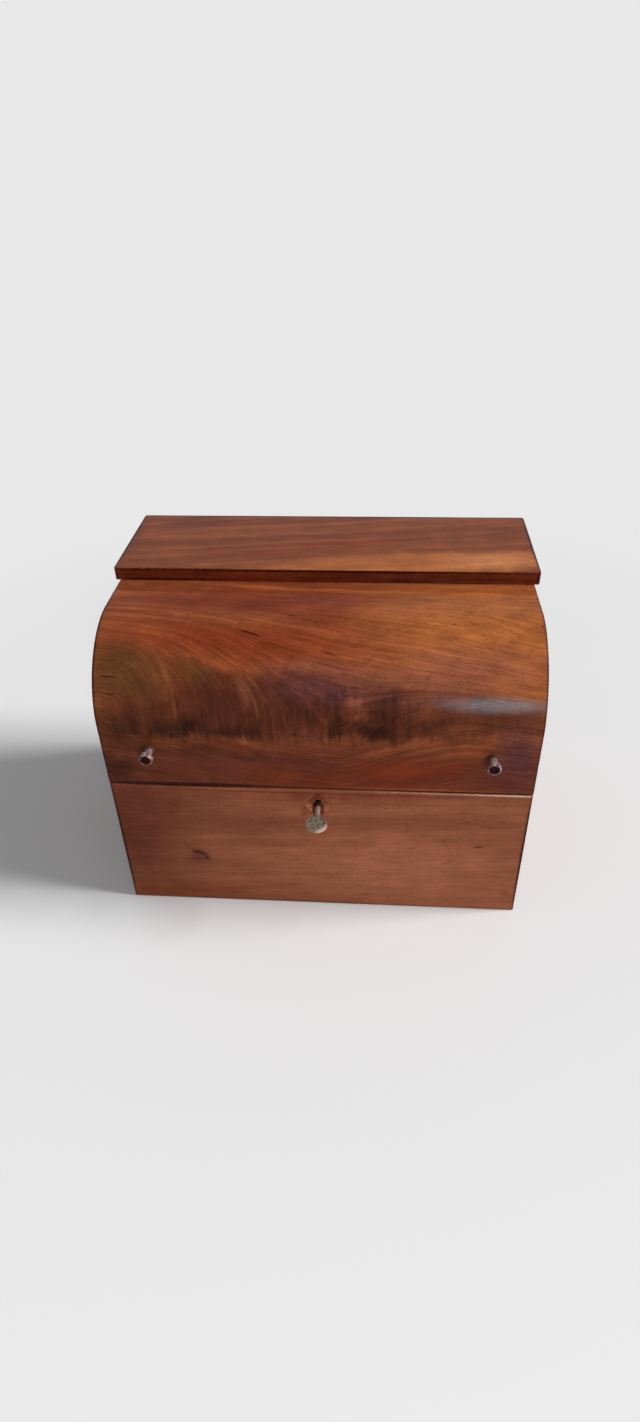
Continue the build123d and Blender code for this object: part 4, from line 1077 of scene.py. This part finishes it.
# along, across, length, width (mm), tilt, softness, rag, feather, colour, share
INLAY_SPOTS = [
    (-7.3, 105.3, 9, 13, 0.1, 0.8, 0.3, 0.0, SAND, 0.8),
    (7.8, 103.5, 10, 15, 0.0, 0.9, 0.3, 0.0, BISCUIT_AND_LIGHT, 0.95),
    (0, 95, 14, 9, 0.0, 0.8, 0.3, 0.0, UMBER, 0.7),
    (0, 117.5, 10, 12, 0.0, 0.8, 0.3, 0.0, UMBER, 0.7),
    # painted shade beside the shank: its cast shadow at the left, a thin dark line at the right
    (-3.4, 103, 2.6, 14, 0.0, 0.7, 0.3, 0.0, PITCH, 0.85),
    (3.4, 103, 1.6, 12, 0.0, 0.8, 0.3, 0.0, SOOT, 0.6),
]
boxwood = wood_material(
    "boxwood inlay", srgb(112, 56, 35), srgb(122, 63, 40), srgb(90, 46, 30), band_width=0.003, rub=0.0,
    mottle=0.1, streak=0.05, fibre_depth=0.12, spots=INLAY_SPOTS,
)
print("zoned finishes:", [m.name for m in (nickel, key_steel, boxwood)])

# %% Hardware that keeps the frame's own shape
SLOT_FINISH = {"lock_brass": brass, "dark_steel": steel, "knob_metal": nickel, "key_metal": key_steel}


def dress(node, finish):
    """Give a node of the frame a finish without touching its mesh."""
    for i in range(len(nodes[node].data.materials)):
        nodes[node].data.materials[i] = finish


dressed = []
for n in sorted(nodes):
    if slots[n] in SLOT_FINISH:
        dress(n, SLOT_FINISH[slots[n]])
        dressed.append(n)
timber("escutcheon", "base", boxwood, boxwood, front_grain, step=1.6 * MM, wave=0.02 * MM, chip=0.03 * MM)
print("dressed:", dressed)

# %% [markdown]
# ## Room
# The floor is one plain pale sheet, much larger than the view.  Near the box it is a real
# surface, so that the box throws its shadow on it; far away it fades into a plain pale tone,
# the same as the world behind it, so that no horizon shows.

# %% Floor and world
FLOOR_TONE = srgb(232, 232, 232)
FLOOR_HALF = 9.0
FLOOR_DROP = 0.4 * MM
FADE_START, FADE_END = 0.45, 0.75
AMBIENT = 0.28


def seen_directly(tree):
    """One for rays that reach the eye straight, by a reflection or through something clear."""
    rays = put(tree, "ShaderNodeLightPath").outputs
    seen = calc(tree, "MAXIMUM", rays["Is Camera Ray"], rays["Is Glossy Ray"])
    return calc(tree, "MAXIMUM", seen, rays["Is Transmission Ray"])


floor_mesh = bpy.data.meshes.new("floor")
floor_corners = [(x * FLOOR_HALF, y * FLOOR_HALF, 0) for x, y in ((-1, -1), (1, -1), (1, 1), (-1, 1))]
floor_mesh.from_pydata(floor_corners, [], [(0, 1, 2, 3)])
floor = bpy.data.objects.new("floor", floor_mesh)
floor.location.z = -FLOOR_DROP
scene.collection.objects.link(floor)
floor_paint, tree, shader = new_material("floor paint", shine=0.0)
shader.inputs["Base Color"].default_value = FLOOR_TONE
shader.inputs["Roughness"].default_value = 1.0
glow = put(tree, "ShaderNodeEmission", {"Color": FLOOR_TONE, "Strength": 1.0})
where = put(tree, "ShaderNodeTexCoord").outputs["Object"]
far = remap(tree, calc_vector(tree, "LENGTH", where), FADE_START, FADE_END)
share = times(tree, far, seen_directly(tree))
blend = put(tree, "ShaderNodeMixShader", {0: share, 1: shader.outputs[0], 2: glow.outputs[0]})
tree.links.new(blend.outputs[0], tree.nodes["Material Output"].inputs["Surface"])
floor_mesh.materials.append(floor_paint)

world = bpy.data.worlds.new("room light")
scene.world = world
world.use_nodes = True
tree = world.node_tree
sky = tree.nodes["Background"]
sky.inputs["Color"].default_value = (1.0, 1.0, 1.0, 1.0)
sky.inputs["Strength"].default_value = AMBIENT
backdrop = put(tree, "ShaderNodeBackground", {"Color": FLOOR_TONE, "Strength": 1.0})
shown = {0: seen_directly(tree), 1: sky.outputs[0], 2: backdrop.outputs[0]}
blend = put(tree, "ShaderNodeMixShader", shown)
tree.links.new(blend.outputs[0], tree.nodes["World Output"].inputs["Surface"])
print("floor and world ready")

# %% [markdown]
# ## Lamps
# Daylight comes from the right: it makes the soft shadow on the left and the bright top.  An
# area lamp near the box would leave a hot spot on the floor, so this is a Sun lamp with a
# wide disc, which lights the whole floor evenly and still gives a soft shadow edge.  A weak
# window stands low in front on the right; its reflection, over a painted grey reflection in
# the wood, is the grey streak on the bend.

# %% Lamps
SUN_STRENGTH = 3.25
SUN_DISC = math.radians(20)
SUN_HEIGHT = math.radians(39)
SUN_BEARING = math.radians(0.5)
WINDOW_PLACE = Vector((0.55, -2.0, 0.48))
WINDOW_AIM = Vector((0.12, 0, 0.19))
WINDOW_WIDTH, WINDOW_HEIGHT = 0.42, 0.52
WINDOW_POWER = 13.0
WINDOW_TINT = (0.88, 0.92, 1.0)

sun_data = bpy.data.lights.new("daylight", "SUN")
sun_data.energy = SUN_STRENGTH
sun_data.angle = SUN_DISC
daylight = bpy.data.objects.new("daylight", sun_data)
toward_sun = Vector(
    (
        math.cos(SUN_HEIGHT) * math.cos(SUN_BEARING),
        math.cos(SUN_HEIGHT) * math.sin(SUN_BEARING),
        math.sin(SUN_HEIGHT),
    )
)
daylight.rotation_euler = toward_sun.to_track_quat("Z", "Y").to_euler()
scene.collection.objects.link(daylight)

window_data = bpy.data.lights.new("front window", "AREA")
window_data.shape = "RECTANGLE"
window_data.size = WINDOW_WIDTH
window_data.size_y = WINDOW_HEIGHT
window_data.energy = WINDOW_POWER
window_data.color = WINDOW_TINT
front_window = bpy.data.objects.new("front window", window_data)
front_window.location = WINDOW_PLACE
front_window.rotation_euler = (WINDOW_AIM - WINDOW_PLACE).to_track_quat("-Z", "Y").to_euler()
scene.collection.objects.link(front_window)
